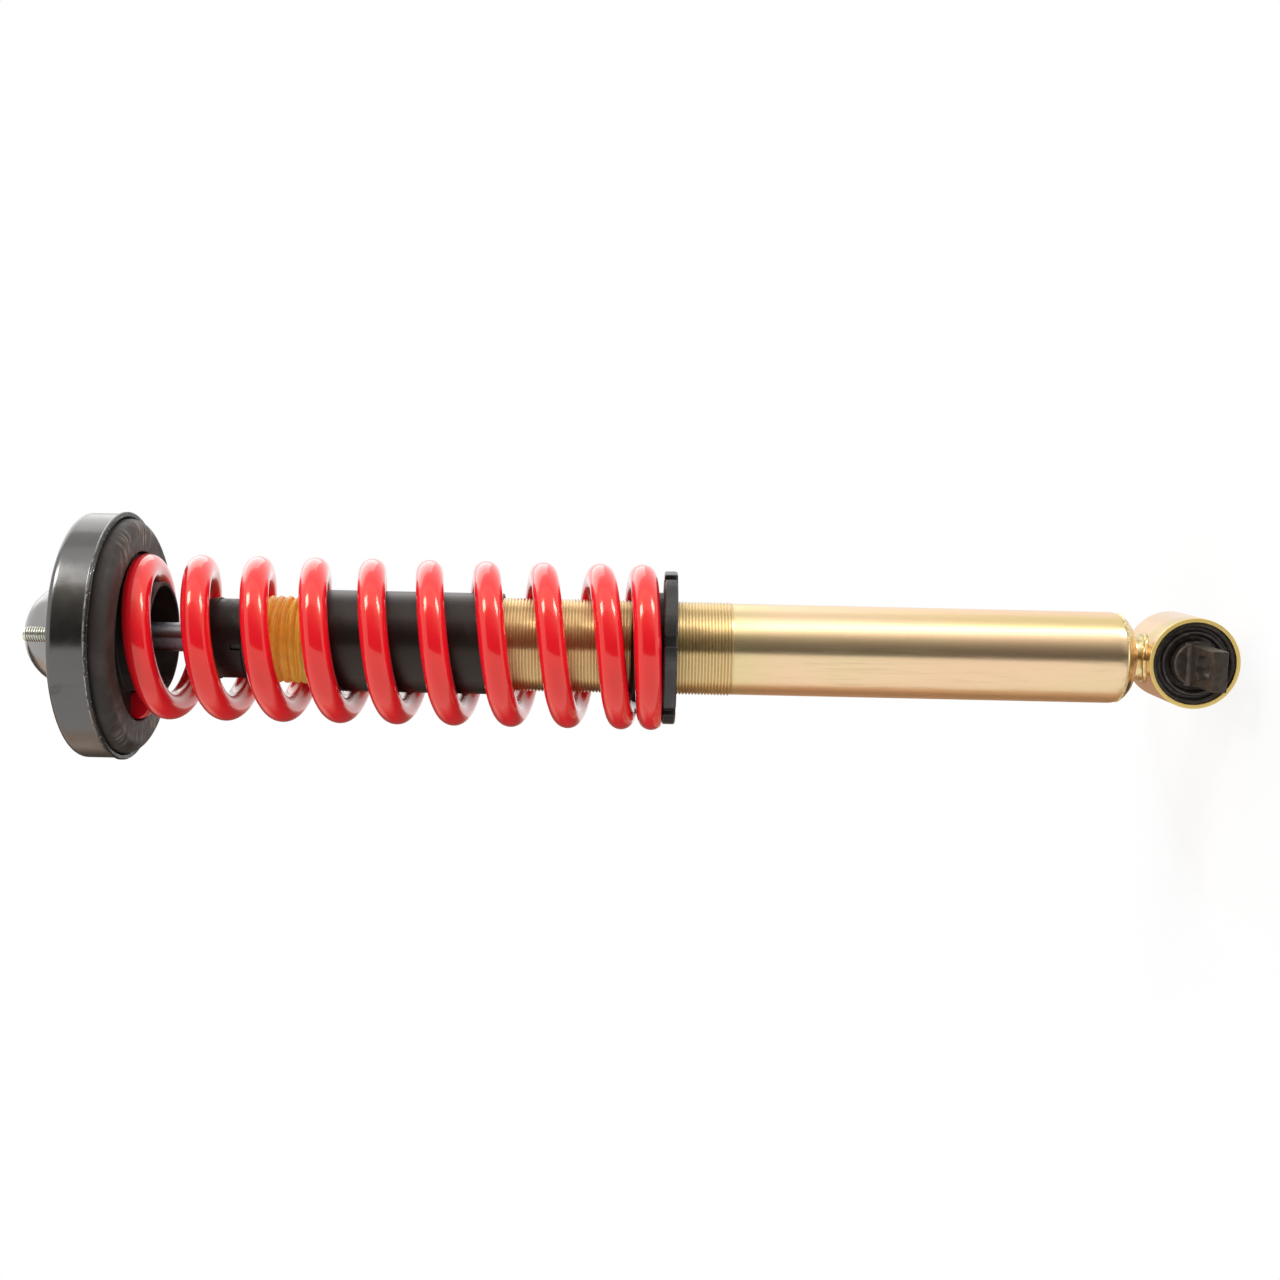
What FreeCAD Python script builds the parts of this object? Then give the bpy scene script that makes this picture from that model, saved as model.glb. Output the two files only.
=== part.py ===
"""Coilover strut with a three-stud top mount, a red coil spring and a bar-pin eye.

The strut stands along Z as it is installed.  The origin is the centre of the
top mount's seating plane, +Z points up into the vehicle and the lower eye's
axis is parallel to Y.  All sizes are millimetres and live in the sheet Sizes;
depths are measured downwards from the seating plane.
"""
import FreeCAD, Part
import Sketcher
import math
import os
import re

Vector = FreeCAD.Vector

# Driving sizes: the alias of each cell, its value, and what it is
SIZES = {
    # Fits shared by several pieces
    "fit_gap": 0.1,             # radial gap between pieces of one assembly
    "running_gap": 0.05,        # radial gap of a running fit
    "free_gap": 0.3,            # gap between pieces that move past each other
    # Top mount: pressed cup, studs and dome
    "cup_radius": 67,
    "cup_wall": 2.5,
    "cup_depth": 22.8,
    "cup_corner": 4,
    "lip_flare": 1,
    "lip_height": 2.7,
    "stud_circle": 47,          # radius of the circle through the three studs
    "stud_angle": -84,          # degrees round Z of the first stud
    "stud_radius": 4,
    "stud_shoulder_radius": 4.6,   # pressed into the cup's back
    "stud_rise": 17,
    "stud_point": 1,
    "stud_head_radius": 8,
    "stud_head_height": 3,
    "dome_radius": 29,
    "dome_rise": 32.3,
    "dome_wall": 1.5,
    "dome_flat": 2,
    # Clamped rod fixing
    "bush_radius": 22,
    "bush_height": 12,
    "bush_neck_radius": 13,
    "sleeve_radius": 9,
    "washer_radius": 21,
    "washer_height": 3,
    "nut_across_flats": 19,
    "nut_hex_height": 7.5,
    "nut_collar_height": 2.5,
    "nut_collar_radius": 8.2,
    "stem_radius": 6,
    "stem_over_nut": 3,
    "stem_point": 1,
    # Rubber isolator under the cup
    "isolator_face_depth": 30.3,
    "isolator_face_radius": 61,
    "isolator_edge": 2,
    "spring_recess_radius": 47,
    "top_seat_depth": 25,
    "isolator_lip_depth": 42,
    "isolator_lip_wall": 2.2,
    "isolator_floor": 3,        # rubber between the washer pocket and the lip's bore
    # Spring
    "wire_radius": 7.5,
    "coil_radius": 38,          # radius of the wire's centre line
    "coil_turns": 10.07,
    "coil_start_angle": 190,    # degrees round Z of the upper tip
    "top_closed_turns": 0.45,
    "top_closed_pitch": 8,
    "top_tip_inset": 3.5,       # ground face to the wire's centre at the tip
    "top_ramp_turns": 0.25,
    "bottom_closed_turns": 0,   # the pitch grows from the lower tip on
    "bottom_closed_pitch": 8.3,
    "bottom_tip_inset": 5,
    "bottom_ramp_turns": 1.6,
    # Bump stop, its cup and the dust tube
    "rod_radius": 8,
    "bumper_depth": 67.6,
    "bumper_cup_radius": 21.75,
    "bumper_cup_height": 21.3,
    "bumper_cup_wall": 1.8,
    "bumper_ridge_depth": 2.8,
    "bumper_ridge_height": 3.3,
    "bumper_ridge_rise": 0.6,
    "vent_width": 3.4,
    "vent_height": 5.4,
    "vent_angle": -97,
    "bump_stop_radius": 24,
    "bump_stop_shoulder": 2,
    "rib_pitch": 4.9,
    "rib_groove_radius": 2.1,
    "rib_groove_height": 5.6,   # lowest groove above the dust tube's top
    "rib_groove_offset": 1.1,   # centre of the groove's circle outside the surface
    "dust_radius": 27.75,
    "dust_wall": 1.5,
    "dust_edge_round": 1.2,
    "dust_top_depth": 124.2,
    "dust_bottom_depth": 228.5,
    "dust_flange": 2.2,
    "clip_radius": 20.2,        # bump stop's clip groove
    "clip_rib_height": 2.6,
    "clip_rib_radius": 23,
    "clip_rib_chamfer": 1.2,
    # Spring seat ring and adjuster collar
    "bottom_seat_depth": 316.1,
    "seat_hub_height": 17.2,
    "seat_flange_radius": 37,
    "seat_flange_height": 1.5,
    "collar_radius": 42,
    "collar_height": 7.4,       # from the coil's seat down
    "collar_edge": 0.8,
    "notch_width": 6.3,
    "notch_depth": 3.2,
    "notch_angle": -78.8,       # degrees round Z of one notch
    # Damper body
    "body_radius": 25,
    "thread_radius": 25.5,
    "body_wall": 2.5,
    "body_top_depth": 219.5,
    "thread_end_depth": 353,
    "thread_runout": 1.5,
    "body_end_depth": 573.5,
    "end_round": 12.5,
    "end_hole_radius": 17.5,
    "gland_height": 8,
    "seal_height": 6,
    "guide_height": 16,
    "guide_spigot": 6,
    "inner_tube_radius": 19,
    "inner_tube_wall": 1.5,
    "foot_valve_rise": 28.5,    # from the body's end up to the valve's shoulder
    "foot_valve_height": 12,
    "foot_valve_spigot": 6,
    "foot_valve_leg_radius": 12,
    # Piston and its stack on the rod's tail
    "rebound_radius": 13.5,
    "rebound_height": 30,
    "tail_radius": 5,
    "shim_height": 3,
    "shim_radius": 13,
    "piston_height": 18,
    "piston_band_height": 10,
    "piston_band_depth": 1.5,
    "piston_nut_across_flats": 17,
    "piston_nut_height": 8,
    "tail_over_nut": 2,
    # Base cap, eye, rubber bush and bar pin
    "plug_inset": 0.8,          # from the tube's end up to the plug's face
    "plug_height": 4.7,
    "neck_radius": 12.2,
    "neck_reach": 5,            # how far the neck's sides run past the eye's top
    "eye_drop": 28.1,           # from the body's end down to the eye's centre
    "eye_radius": 24.5,
    "eye_wall": 2.2,
    "eye_length": 44,
    "eye_chamfer": 0.5,
    "pin_radius": 12.25,
    "pin_length": 51.2,
    "rubber_length": 42.4,
    "rubber_groove_depth": 3.2,
    "rubber_recess_depth": 3.7,
    "rubber_lip_radius": 16.4,
    "rubber_lip_width": 1.4,
    "rubber_rim_width": 2,
    "rubber_draft": 0.6,
    "bar_length": 119,
    "bar_width": 21.3,
    "bar_thickness": 8,
    "bar_root_round": 1.5,
    "slot_spacing": 90,
    "slot_width": 13,
    "slot_length": 21,
}
STUD_COUNT = 3
NOTCH_COUNT = 6
RIB_COUNT = 6
SAMPLES_PER_TURN = 50
TANGENT_STEP = 1e-5             # turns either side of a point for the wire's direction
TINY = 1e-4

document = FreeCAD.newDocument("coilover")
sheet = document.addObject("Spreadsheet::Sheet", "Sizes")
parts = []


def fill_sheet():
    """Writes each driving size in a cell with its alias."""
    for row, (alias, value) in enumerate(SIZES.items(), start=1):
        sheet.set(f"A{row}", alias)
        sheet.set(f"B{row}", str(value))
        sheet.setAlias(f"B{row}", alias)
    document.recompute()


def size(alias):
    """The number in the cell with this alias."""
    return float(sheet.get(alias))


def bound(text):
    """An expression on the sheet's cells from one that names their aliases."""
    return re.sub(r"[a-z_]+", lambda word: f"Sizes.{word[0]}" if word[0] in SIZES else word[0], text)


def bind(item, **expressions):
    """Binds properties of a document object to expressions."""
    for name, text in expressions.items():
        item.setExpression(name, bound(text))


def place(item, depth="0", turn=None, lying=False):
    """Puts an item at a depth, turned round Z or lying with its own Z along Y."""
    if lying:
        item.Placement = FreeCAD.Placement(Vector(), FreeCAD.Rotation(Vector(1, 0, 0), -90))
    elif turn:
        item.Placement = FreeCAD.Placement(Vector(), FreeCAD.Rotation(Vector(0, 0, 1), 1))
        item.setExpression("Placement.Rotation.Angle", bound(turn))
    item.setExpression("Placement.Base.z", bound(f"-({depth})"))


def new_body(name, **where):
    """A body that is one sub-part of the strut."""
    body = document.addObject("PartDesign::Body", name)
    body.Label = name
    place(body, **where)
    parts.append(body)
    return body


def new_sketch(body, name, role):
    """A sketch on one of the body's own origin planes."""
    sketch = body.newObject("Sketcher::SketchObject", name)
    plane = next(item for item in body.Origin.OriginFeatures if item.Role == role)
    sketch.AttachmentSupport = (plane, [""])
    sketch.MapMode = "FlatFace"
    return sketch


def pin_point(sketch, curve, end, across, up):
    """Fixes a point of a curve at two bound distances from the sketch's origin."""
    for kind, axis, text in (("DistanceX", -2, across), ("DistanceY", -1, up)):
        if text == "0":
            sketch.addConstraint(Sketcher.Constraint("PointOnObject", curve, end, axis))
            continue
        index = sketch.addConstraint(Sketcher.Constraint(kind, -1, 1, curve, end, 1.0))
        sketch.setExpression(f"Constraints[{index}]", bound(text))


def draw_outline(sketch, points):
    """A closed outline of straight lines whose corners are bound distances."""
    count = len(points)
    corners = []
    for number in range(count):
        angle = 2 * math.pi * number / count
        corners.append(Vector(2 + math.cos(angle), math.sin(angle), 0))
    lines = []
    for start, end in zip(corners, corners[1:] + corners[:1]):
        lines.append(sketch.addGeometry(Part.LineSegment(start, end), False))
    for line, following in zip(lines, lines[1:] + lines[:1]):
        sketch.addConstraint(Sketcher.Constraint("Coincident", line, 2, following, 1))
    for line, (across, up) in zip(lines, points):
        pin_point(sketch, line, 1, across, up)


def draw_circle(sketch, across, up, radius):
    """A circle with a bound centre and radius."""
    curve = sketch.addGeometry(Part.Circle(Vector(1, 1, 0), Vector(0, 0, 1), 1), False)
    pin_point(sketch, curve, 3, across, up)
    index = sketch.addConstraint(Sketcher.Constraint("Radius", curve, 1.0))
    sketch.setExpression(f"Constraints[{index}]", bound(radius))


def revolve(body, name, sketch, axis="V_Axis"):
    """Revolves a sketch into the body's first solid."""
    solid = body.newObject("PartDesign::Revolution", name)
    solid.Profile = sketch
    solid.ReferenceAxis = (sketch, [axis])
    solid.Angle = 360
    return solid


def turned(name, points, **where):
    """A piece of revolution: corners are (radius, height) in the piece's own frame."""
    body = new_body(name, **where)
    sketch = new_sketch(body, f"{name}_profile", "XZ_Plane")
    draw_outline(sketch, points)
    revolve(body, f"{name}_turned", sketch)
    return body


def ring(name, bore, radius, height, **where):
    """A plain ring that hangs down from its own origin."""
    end = f"-({height})"
    return turned(name, [(bore, "0"), (radius, "0"), (radius, end), (bore, end)], **where)


def circle_edges(shape, radius, height):
    """Names of the full circles with this radius at this height."""
    names = []
    for number, edge in enumerate(shape.Edges, start=1):
        curve = edge.Curve
        if not isinstance(curve, Part.Circle):
            continue
        if abs(curve.Radius - radius) < TINY and abs(curve.Center.z - height) < TINY:
            names.append(f"Edge{number}")
    return names


def soften(body, name, kind, amount, spots):
    """Fillets or chamfers circular edges, each given by its radius and height."""
    document.recompute()
    base = body.Tip
    edges = [edge for spot in spots for edge in circle_edges(base.Shape, *spot)]
    feature = body.newObject(f"PartDesign::{kind}", name)
    feature.Base = (base, edges)
    bind(feature, **{"Radius" if kind == "Fillet" else "Size": amount})
    return feature


def pocket(body, name, sketch, length=None, outwards=False):
    """Cuts a sketch through the whole body, or to a bound length on one side."""
    cut = body.newObject("PartDesign::Pocket", name)
    cut.Profile = sketch
    if length:
        cut.Type = "Length"
        cut.Reversed = outwards
        bind(cut, Length=length)
    else:
        cut.Type = "ThroughAll"
        cut.Midplane = True
    return cut


def polar(body, name, feature, sketch, axis, count):
    """Repeats a feature round an axis of its sketch."""
    pattern = body.newObject("PartDesign::PolarPattern", name)
    pattern.Originals = [feature]
    pattern.Axis = (sketch, [axis])
    pattern.Angle = 360
    pattern.Occurrences = count
    body.Tip = pattern
    return pattern


def cylinder(name, radius, height, up="0"):
    """A plain cylinder used as an operand."""
    solid = document.addObject("Part::Cylinder", name)
    bind(solid, Radius=radius, Height=height)
    solid.setExpression("Placement.Base.z", bound(up))
    return solid


def hexagon(name, across_flats, height):
    """A hexagonal prism used as an operand."""
    solid = document.addObject("Part::Prism", name)
    solid.Polygon = 6
    bind(solid, Circumradius=f"({across_flats}) / sqrt(3)", Height=height)
    return solid


def bored(name, blank, bore, height, **where):
    """A blank with a hole along its axis, as one sub-part."""
    cut = document.addObject("Part::Cut", name)
    cut.Label = name
    cut.Base = blank
    cut.Tool = cylinder(f"{name}_bore", bore, height)
    place(cut, **where)
    parts.append(cut)
    return cut


# Depths and radii that several pieces share
SHOULDER = "cup_wall + bush_height + washer_height"
GUIDE_TOP = "body_top_depth + gland_height + seal_height"
GUIDE_BOTTOM = f"{GUIDE_TOP} + guide_height"
REBOUND_TOP = f"{GUIDE_BOTTOM} + guide_spigot + free_gap"
TAIL_TOP = f"{REBOUND_TOP} + rebound_height"
PISTON_TOP = f"{TAIL_TOP} + shim_height"
PISTON_BOTTOM = f"{PISTON_TOP} + piston_height"
COIL_BORE = "coil_radius - wire_radius"
TUBE_BORE = "inner_tube_radius - inner_tube_wall"
BODY_BORE = "body_radius - body_wall"
FOOT_VALVE_TOP = "body_end_depth - foot_valve_rise"
EYE_DEPTH = "body_end_depth + eye_drop"


def mount_cup():
    """The pressed cup: a flat back, a rounded corner and a flared lip."""
    hole = "bush_neck_radius + fit_gap"
    inner = "cup_radius - cup_wall"
    body = turned("mount_cup", [
        (hole, "0"), ("cup_radius", "0"),
        ("cup_radius", "lip_height - cup_depth"),
        ("cup_radius + lip_flare", "lip_height - lip_flare - cup_depth"),
        ("cup_radius + lip_flare", "-cup_depth"),
        (inner, "-cup_depth"), (inner, "-cup_wall"), (hole, "-cup_wall"),
    ], turn="stud_angle")
    soften(body, "cup_outer_corner", "Fillet", "cup_corner", [(size("cup_radius"), 0)])
    soften(body, "cup_inner_corner", "Fillet", "cup_corner - cup_wall",
           [(size("cup_radius") - size("cup_wall"), -size("cup_wall"))])
    sketch = new_sketch(body, "stud_hole", "XY_Plane")
    draw_circle(sketch, "stud_circle", "0", "stud_shoulder_radius + fit_gap")
    stud_hole = pocket(body, "stud_hole_cut", sketch)
    polar(body, "stud_holes", stud_hole, sketch, "N_Axis", STUD_COUNT)


def dome_cap():
    """The domed cap over the rod's nut."""
    inner = "dome_radius - dome_wall"
    body = turned("dome_cap", [
        (inner, "0"), ("dome_radius", "0"), ("dome_radius", "dome_rise"),
        ("0", "dome_rise"), ("0", "dome_rise - dome_wall"), (inner, "dome_rise - dome_wall"),
    ])
    soften(body, "dome_outside", "Fillet", "dome_radius - dome_flat",
           [(size("dome_radius"), size("dome_rise"))])
    soften(body, "dome_inside", "Fillet", "dome_radius - dome_wall - dome_flat",
           [(size("dome_radius") - size("dome_wall"), size("dome_rise") - size("dome_wall"))])


def mount_studs():
    """Three headed studs through the cup's back."""
    body = new_body("mount_studs", turn="stud_angle")
    sketch = new_sketch(body, "stud_profile", "XZ_Plane")
    axis = sketch.addGeometry(Part.LineSegment(Vector(2, -2, 0), Vector(2, 2, 0)), True)
    pin_point(sketch, axis, 1, "stud_circle", "-cup_wall - stud_head_height - stud_head_height")
    pin_point(sketch, axis, 2, "stud_circle", "stud_rise + stud_head_height")
    draw_outline(sketch, [
        ("stud_circle", "-cup_wall - stud_head_height"),
        ("stud_circle + stud_head_radius", "-cup_wall - stud_head_height"),
        ("stud_circle + stud_head_radius", "-cup_wall"),
        ("stud_circle + stud_shoulder_radius", "-cup_wall"),
        ("stud_circle + stud_shoulder_radius", "0"),
        ("stud_circle + stud_radius", "0"),
        ("stud_circle + stud_radius", "stud_rise - stud_point"),
        ("stud_circle + stud_radius - stud_point", "stud_rise"),
        ("stud_circle", "stud_rise"),
    ])
    stud = revolve(body, "stud", sketch, "Axis0")
    polar(body, "studs", stud, sketch, "V_Axis", STUD_COUNT)


def isolator():
    """The moulded rubber in the cup: a spring recess and a centring lip."""
    bore = "bush_radius + free_gap"
    outer = "cup_radius - cup_wall - fit_gap"
    lip_outer = f"{COIL_BORE} - free_gap"
    lip_bore = f"{lip_outer} - isolator_lip_wall"
    floor = f"-({SHOULDER} + isolator_floor)"
    body = turned("isolator", [
        (bore, "-cup_wall"), (outer, "-cup_wall"), (outer, "-cup_depth"),
        ("isolator_face_radius", "-isolator_face_depth"),
        ("spring_recess_radius", "-isolator_face_depth"),
        ("spring_recess_radius", "-top_seat_depth"),
        (lip_outer, "-top_seat_depth"), (lip_outer, "-isolator_lip_depth"),
        (lip_bore, "-isolator_lip_depth"), (lip_bore, floor), (bore, floor),
    ], turn="stud_angle")
    outer_radius = size("cup_radius") - size("cup_wall") - size("fit_gap")
    face = -size("isolator_face_depth")
    soften(body, "isolator_top_edge", "Fillet", "cup_corner - cup_wall", [(outer_radius, -size("cup_wall"))])
    soften(body, "isolator_face_edges", "Fillet", "isolator_edge",
           [(size("isolator_face_radius"), face), (size("spring_recess_radius"), face)])
    sketch = new_sketch(body, "stud_head_pocket", "XY_Plane")
    draw_circle(sketch, "stud_circle", "0", "stud_head_radius + free_gap")
    cut = pocket(body, "stud_head_cut", sketch, "cup_wall + stud_head_height + fit_gap")
    polar(body, "stud_head_pockets", cut, sketch, "N_Axis", STUD_COUNT)


def rod_fixing():
    """Rubber bushes, washers and spacer that clamp the rod's stem to the cup's back."""
    bore = "sleeve_radius + fit_gap"
    stem = "stem_radius + fit_gap"
    turned("upper_bush", [
        (bore, "-cup_wall"), ("bush_neck_radius", "-cup_wall"), ("bush_neck_radius", "0"),
        ("bush_radius", "0"), ("bush_radius", "bush_height"), (bore, "bush_height"),
    ])
    ring("lower_bush", bore, "bush_radius", "bush_height", depth="cup_wall")
    ring("upper_washer", stem, "washer_radius", "washer_height", depth="-bush_height - washer_height")
    ring("lower_washer", stem, "washer_radius", "washer_height", depth="cup_wall + bush_height")
    ring("spacer_sleeve", stem, "sleeve_radius", "cup_wall + 2 * bush_height", depth="-bush_height")


def rod_nut():
    """The nut on the rod's stem, with its round locking collar."""
    collar = cylinder("rod_nut_collar", "nut_collar_radius", "nut_hex_height + nut_collar_height")
    blank = document.addObject("Part::Fuse", "rod_nut_blank")
    blank.Base = hexagon("rod_nut_hexagon", "nut_across_flats", "nut_hex_height")
    blank.Tool = collar
    bored("rod_nut", blank, "stem_radius + fit_gap", "nut_hex_height + nut_collar_height",
          depth="-bush_height - washer_height")


def piston_rod():
    """The chromed rod with its stepped stem and its tail for the piston."""
    stem_top = "bush_height + washer_height + nut_hex_height + nut_collar_height + stem_over_nut"
    tail_end = f"-({PISTON_BOTTOM} + piston_nut_height + tail_over_nut)"
    turned("piston_rod", [
        ("0", stem_top), ("stem_radius - stem_point", stem_top),
        ("stem_radius", f"{stem_top} - stem_point"),
        ("stem_radius", f"-({SHOULDER})"), ("rod_radius", f"-({SHOULDER})"),
        ("rod_radius", f"-({TAIL_TOP})"), ("tail_radius", f"-({TAIL_TOP})"),
        ("tail_radius", tail_end), ("0", tail_end),
    ])


def piston_stack():
    """Rebound stop, valve shims, grooved piston, its band and its nut."""
    bore = "tail_radius + fit_gap"
    outer = f"{TUBE_BORE} - free_gap"
    groove = f"{outer} - piston_band_depth"
    groove_top = "-(piston_height - piston_band_height) / 2"
    groove_bottom = "-(piston_height + piston_band_height) / 2"
    ring("rebound_stop", "rod_radius + fit_gap", "rebound_radius", "rebound_height", depth=REBOUND_TOP)
    ring("valve_shims", bore, "shim_radius", "shim_height", depth=TAIL_TOP)
    turned("piston", [
        (bore, "0"), (outer, "0"), (outer, groove_top), (groove, groove_top),
        (groove, groove_bottom), (outer, groove_bottom), (outer, "-piston_height"), (bore, "-piston_height"),
    ], depth=PISTON_TOP)
    ring("piston_band", f"{groove} + fit_gap", f"{TUBE_BORE} - running_gap", "piston_band_height",
         depth=f"{PISTON_TOP} + (piston_height - piston_band_height) / 2")
    blank = hexagon("piston_nut_hexagon", "piston_nut_across_flats", "piston_nut_height")
    bored("piston_nut", blank, bore, "piston_nut_height", depth=f"{PISTON_BOTTOM} + piston_nut_height")


def bump_stop_cup():
    """The black cup on top of the bump stop, with a ridge and a vent notch."""
    bore = "rod_radius + free_gap"
    inner = "bumper_cup_radius - bumper_cup_wall"
    ridge = "bumper_cup_radius + bumper_ridge_rise"
    ridge_end = "-bumper_ridge_depth - bumper_ridge_height"
    body = turned("bump_stop_cup", [
        (bore, "0"), ("bumper_cup_radius", "0"), ("bumper_cup_radius", "-bumper_ridge_depth"),
        (ridge, "-bumper_ridge_depth"), (ridge, ridge_end), ("bumper_cup_radius", ridge_end),
        ("bumper_cup_radius", "-bumper_cup_height"), (inner, "-bumper_cup_height"),
        (inner, "-bumper_cup_wall"), (bore, "-bumper_cup_wall"),
    ], depth="bumper_depth", turn="vent_angle")
    soften(body, "bumper_cup_edge", "Fillet", "bumper_cup_wall / 2", [(size("bumper_cup_radius"), 0)])
    sketch = new_sketch(body, "vent", "YZ_Plane")
    top = "vent_height - bumper_cup_height"
    draw_outline(sketch, [
        ("-vent_width / 2", "-bumper_cup_height - bumper_cup_wall"),
        ("vent_width / 2", "-bumper_cup_height - bumper_cup_wall"),
        ("vent_width / 2", top), ("-vent_width / 2", top),
    ])
    pocket(body, "vent_cut", sketch, "bumper_cup_radius + bumper_cup_wall", outwards=True)


def bump_stop():
    """The ribbed foam bump stop, with the groove that the dust tube clips into."""
    bore = "rod_radius + free_gap"
    neck = "bumper_cup_radius - bumper_cup_wall - fit_gap"
    shoulder = "bumper_cup_wall - bumper_cup_height"
    clip_top = "bumper_depth + bumper_cup_wall - dust_top_depth + free_gap"
    clip_bottom = f"{clip_top} - free_gap - dust_flange"
    end = f"{clip_bottom} - clip_rib_height"
    body = turned("bump_stop", [
        (bore, "0"), (neck, "0"), (neck, shoulder), ("bump_stop_radius - bump_stop_shoulder", shoulder),
        ("bump_stop_radius", f"{shoulder} - bump_stop_shoulder"), ("bump_stop_radius", clip_top),
        ("clip_radius", clip_top), ("clip_radius", clip_bottom), ("clip_rib_radius", clip_bottom),
        ("clip_rib_radius", f"{end} + clip_rib_chamfer"),
        ("clip_rib_radius - clip_rib_chamfer", end), (bore, end),
    ], depth="bumper_depth + bumper_cup_wall")
    sketch = new_sketch(body, "rib_groove", "XZ_Plane")
    draw_circle(sketch, "bump_stop_radius + rib_groove_offset", f"{clip_top} + rib_groove_height",
                "rib_groove_radius")
    groove = body.newObject("PartDesign::Groove", "rib_groove_cut")
    groove.Profile = sketch
    groove.ReferenceAxis = (sketch, ["V_Axis"])
    groove.Angle = 360
    pattern = body.newObject("PartDesign::LinearPattern", "rib_grooves")
    pattern.Originals = [groove]
    pattern.Direction = (sketch, ["V_Axis"])
    pattern.Occurrences = RIB_COUNT
    bind(pattern, Length=f"rib_pitch * {RIB_COUNT - 1}")
    body.Tip = pattern


def dust_tube():
    """The black tube that hangs from the bump stop's clip groove."""
    hole = "clip_radius + free_gap"
    inner = "dust_radius - dust_wall"
    end = "dust_top_depth - dust_bottom_depth"
    body = turned("dust_tube", [
        (hole, "0"), ("dust_radius", "0"), ("dust_radius", end),
        (inner, end), (inner, "-dust_flange"), (hole, "-dust_flange"),
    ], depth="dust_top_depth")
    soften(body, "dust_tube_edge", "Fillet", "dust_edge_round", [(size("dust_radius"), 0)])


def coil_pitch():
    """The open coils' pitch that makes the spring fill the space between its seats."""
    length = size("bottom_seat_depth") - size("top_seat_depth")
    length -= size("top_tip_inset") + size("bottom_tip_inset")
    open_turns = size("coil_turns")
    for end in ("top", "bottom"):
        turns = size(f"{end}_closed_turns") + size(f"{end}_ramp_turns") / 2
        open_turns -= turns
        length -= size(f"{end}_closed_pitch") * turns
    return length / open_turns


def closed_end(turns, end, pitch):
    """How far the wire has moved along Z this many turns from one tip."""
    closed_pitch = size(f"{end}_closed_pitch")
    closed_turns = size(f"{end}_closed_turns")
    ramp = size(f"{end}_ramp_turns")
    on_ramp = min(max(turns - closed_turns, 0), ramp)
    past = max(turns - closed_turns - ramp, 0)
    moved = closed_pitch * min(turns, closed_turns)
    moved += on_ramp * closed_pitch + (pitch - closed_pitch) * on_ramp ** 2 / (2 * ramp)
    return moved + past * pitch


def coil_point(turns, pitch):
    """The wire's centre this many turns below the upper tip."""
    total = size("coil_turns")
    if turns < total / 2:
        height = -size("top_seat_depth") - size("top_tip_inset") - closed_end(turns, "top", pitch)
    else:
        height = -size("bottom_seat_depth") + size("bottom_tip_inset")
        height += closed_end(total - turns, "bottom", pitch)
    angle = math.radians(size("coil_start_angle") - 360 * turns)
    return Vector(size("coil_radius") * math.cos(angle), size("coil_radius") * math.sin(angle), height)


def coil_direction(turns, pitch):
    """The wire's direction this many turns below the upper tip."""
    before = max(turns - TANGENT_STEP, 0)
    after = min(turns + TANGENT_STEP, size("coil_turns"))
    return (coil_point(after, pitch) - coil_point(before, pitch)).normalize()


def tangent_arc(start, direction, end):
    """The arc that leaves a point in a direction and ends at another point."""
    chord = end - start
    along = Vector(chord).normalize()
    bulge = direction - along * direction.dot(along)
    lean = direction.getAngle(along)
    height = chord.Length / 2 * math.tan(lean / 2)
    middle = start + chord / 2 + Vector(bulge).normalize() * height
    return Part.Arc(start, middle, end).toShape()


def biarc(start, start_direction, end, end_direction):
    """Two tangent arcs that join two points with given directions."""
    gap = end - start
    lean = gap.dot(start_direction + end_direction)
    squeeze = 2 * (1 - start_direction.dot(end_direction))
    reach = (math.sqrt(lean ** 2 + squeeze * gap.dot(gap)) - lean) / squeeze
    joint = (start + start_direction * reach + end - end_direction * reach) / 2
    first = tangent_arc(start, start_direction, joint)
    second = tangent_arc(end, end_direction * -1, joint)
    return [first, second]


def least_coil_gap(pitch):
    """The least distance between turns of the wire, surface to surface."""
    samples = int(size("coil_turns") * SAMPLES_PER_TURN) + 1
    stations = [min(number / SAMPLES_PER_TURN, size("coil_turns")) for number in range(samples)]
    points = [coil_point(station, pitch) for station in stations]
    half_turn = SAMPLES_PER_TURN // 2
    least = min(
        points[first].distanceToPoint(points[second])
        for first in range(samples)
        for second in range(first + half_turn, samples)
    )
    return least - 2 * size("wire_radius")


def spring():
    """The coil spring: one wire on quarter-turn biarcs, with closed and ground ends."""
    pitch = coil_pitch()
    spans = math.ceil(size("coil_turns") * 4)
    stations = [size("coil_turns") * number / spans for number in range(spans + 1)]
    edges = []
    for start, end in zip(stations, stations[1:]):
        edges += biarc(coil_point(start, pitch), coil_direction(start, pitch),
                       coil_point(end, pitch), coil_direction(end, pitch))
    section = Part.Circle(coil_point(0, pitch), coil_direction(0, pitch), size("wire_radius"))
    wire = Part.Wire(Part.__sortEdges__(edges))
    solid = wire.makePipeShell([Part.Wire([section.toShape()])], True, False)
    reach = size("coil_radius") + 2 * size("wire_radius")
    waste = 2 * size("wire_radius")
    above = Part.makeCylinder(reach, waste, Vector(0, 0, -size("top_seat_depth")))
    below = Part.makeCylinder(reach, waste, Vector(0, 0, -size("bottom_seat_depth") - waste))
    item = document.addObject("Part::Feature", "spring")
    item.Label = "spring"
    item.Shape = solid.cut([above, below]).Solids[0]
    item.Placement = FreeCAD.Placement()
    parts.append(item)
    print(f"spring: pitch {pitch:.2f} mm, least gap to itself {least_coil_gap(pitch):.2f} mm")


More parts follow.
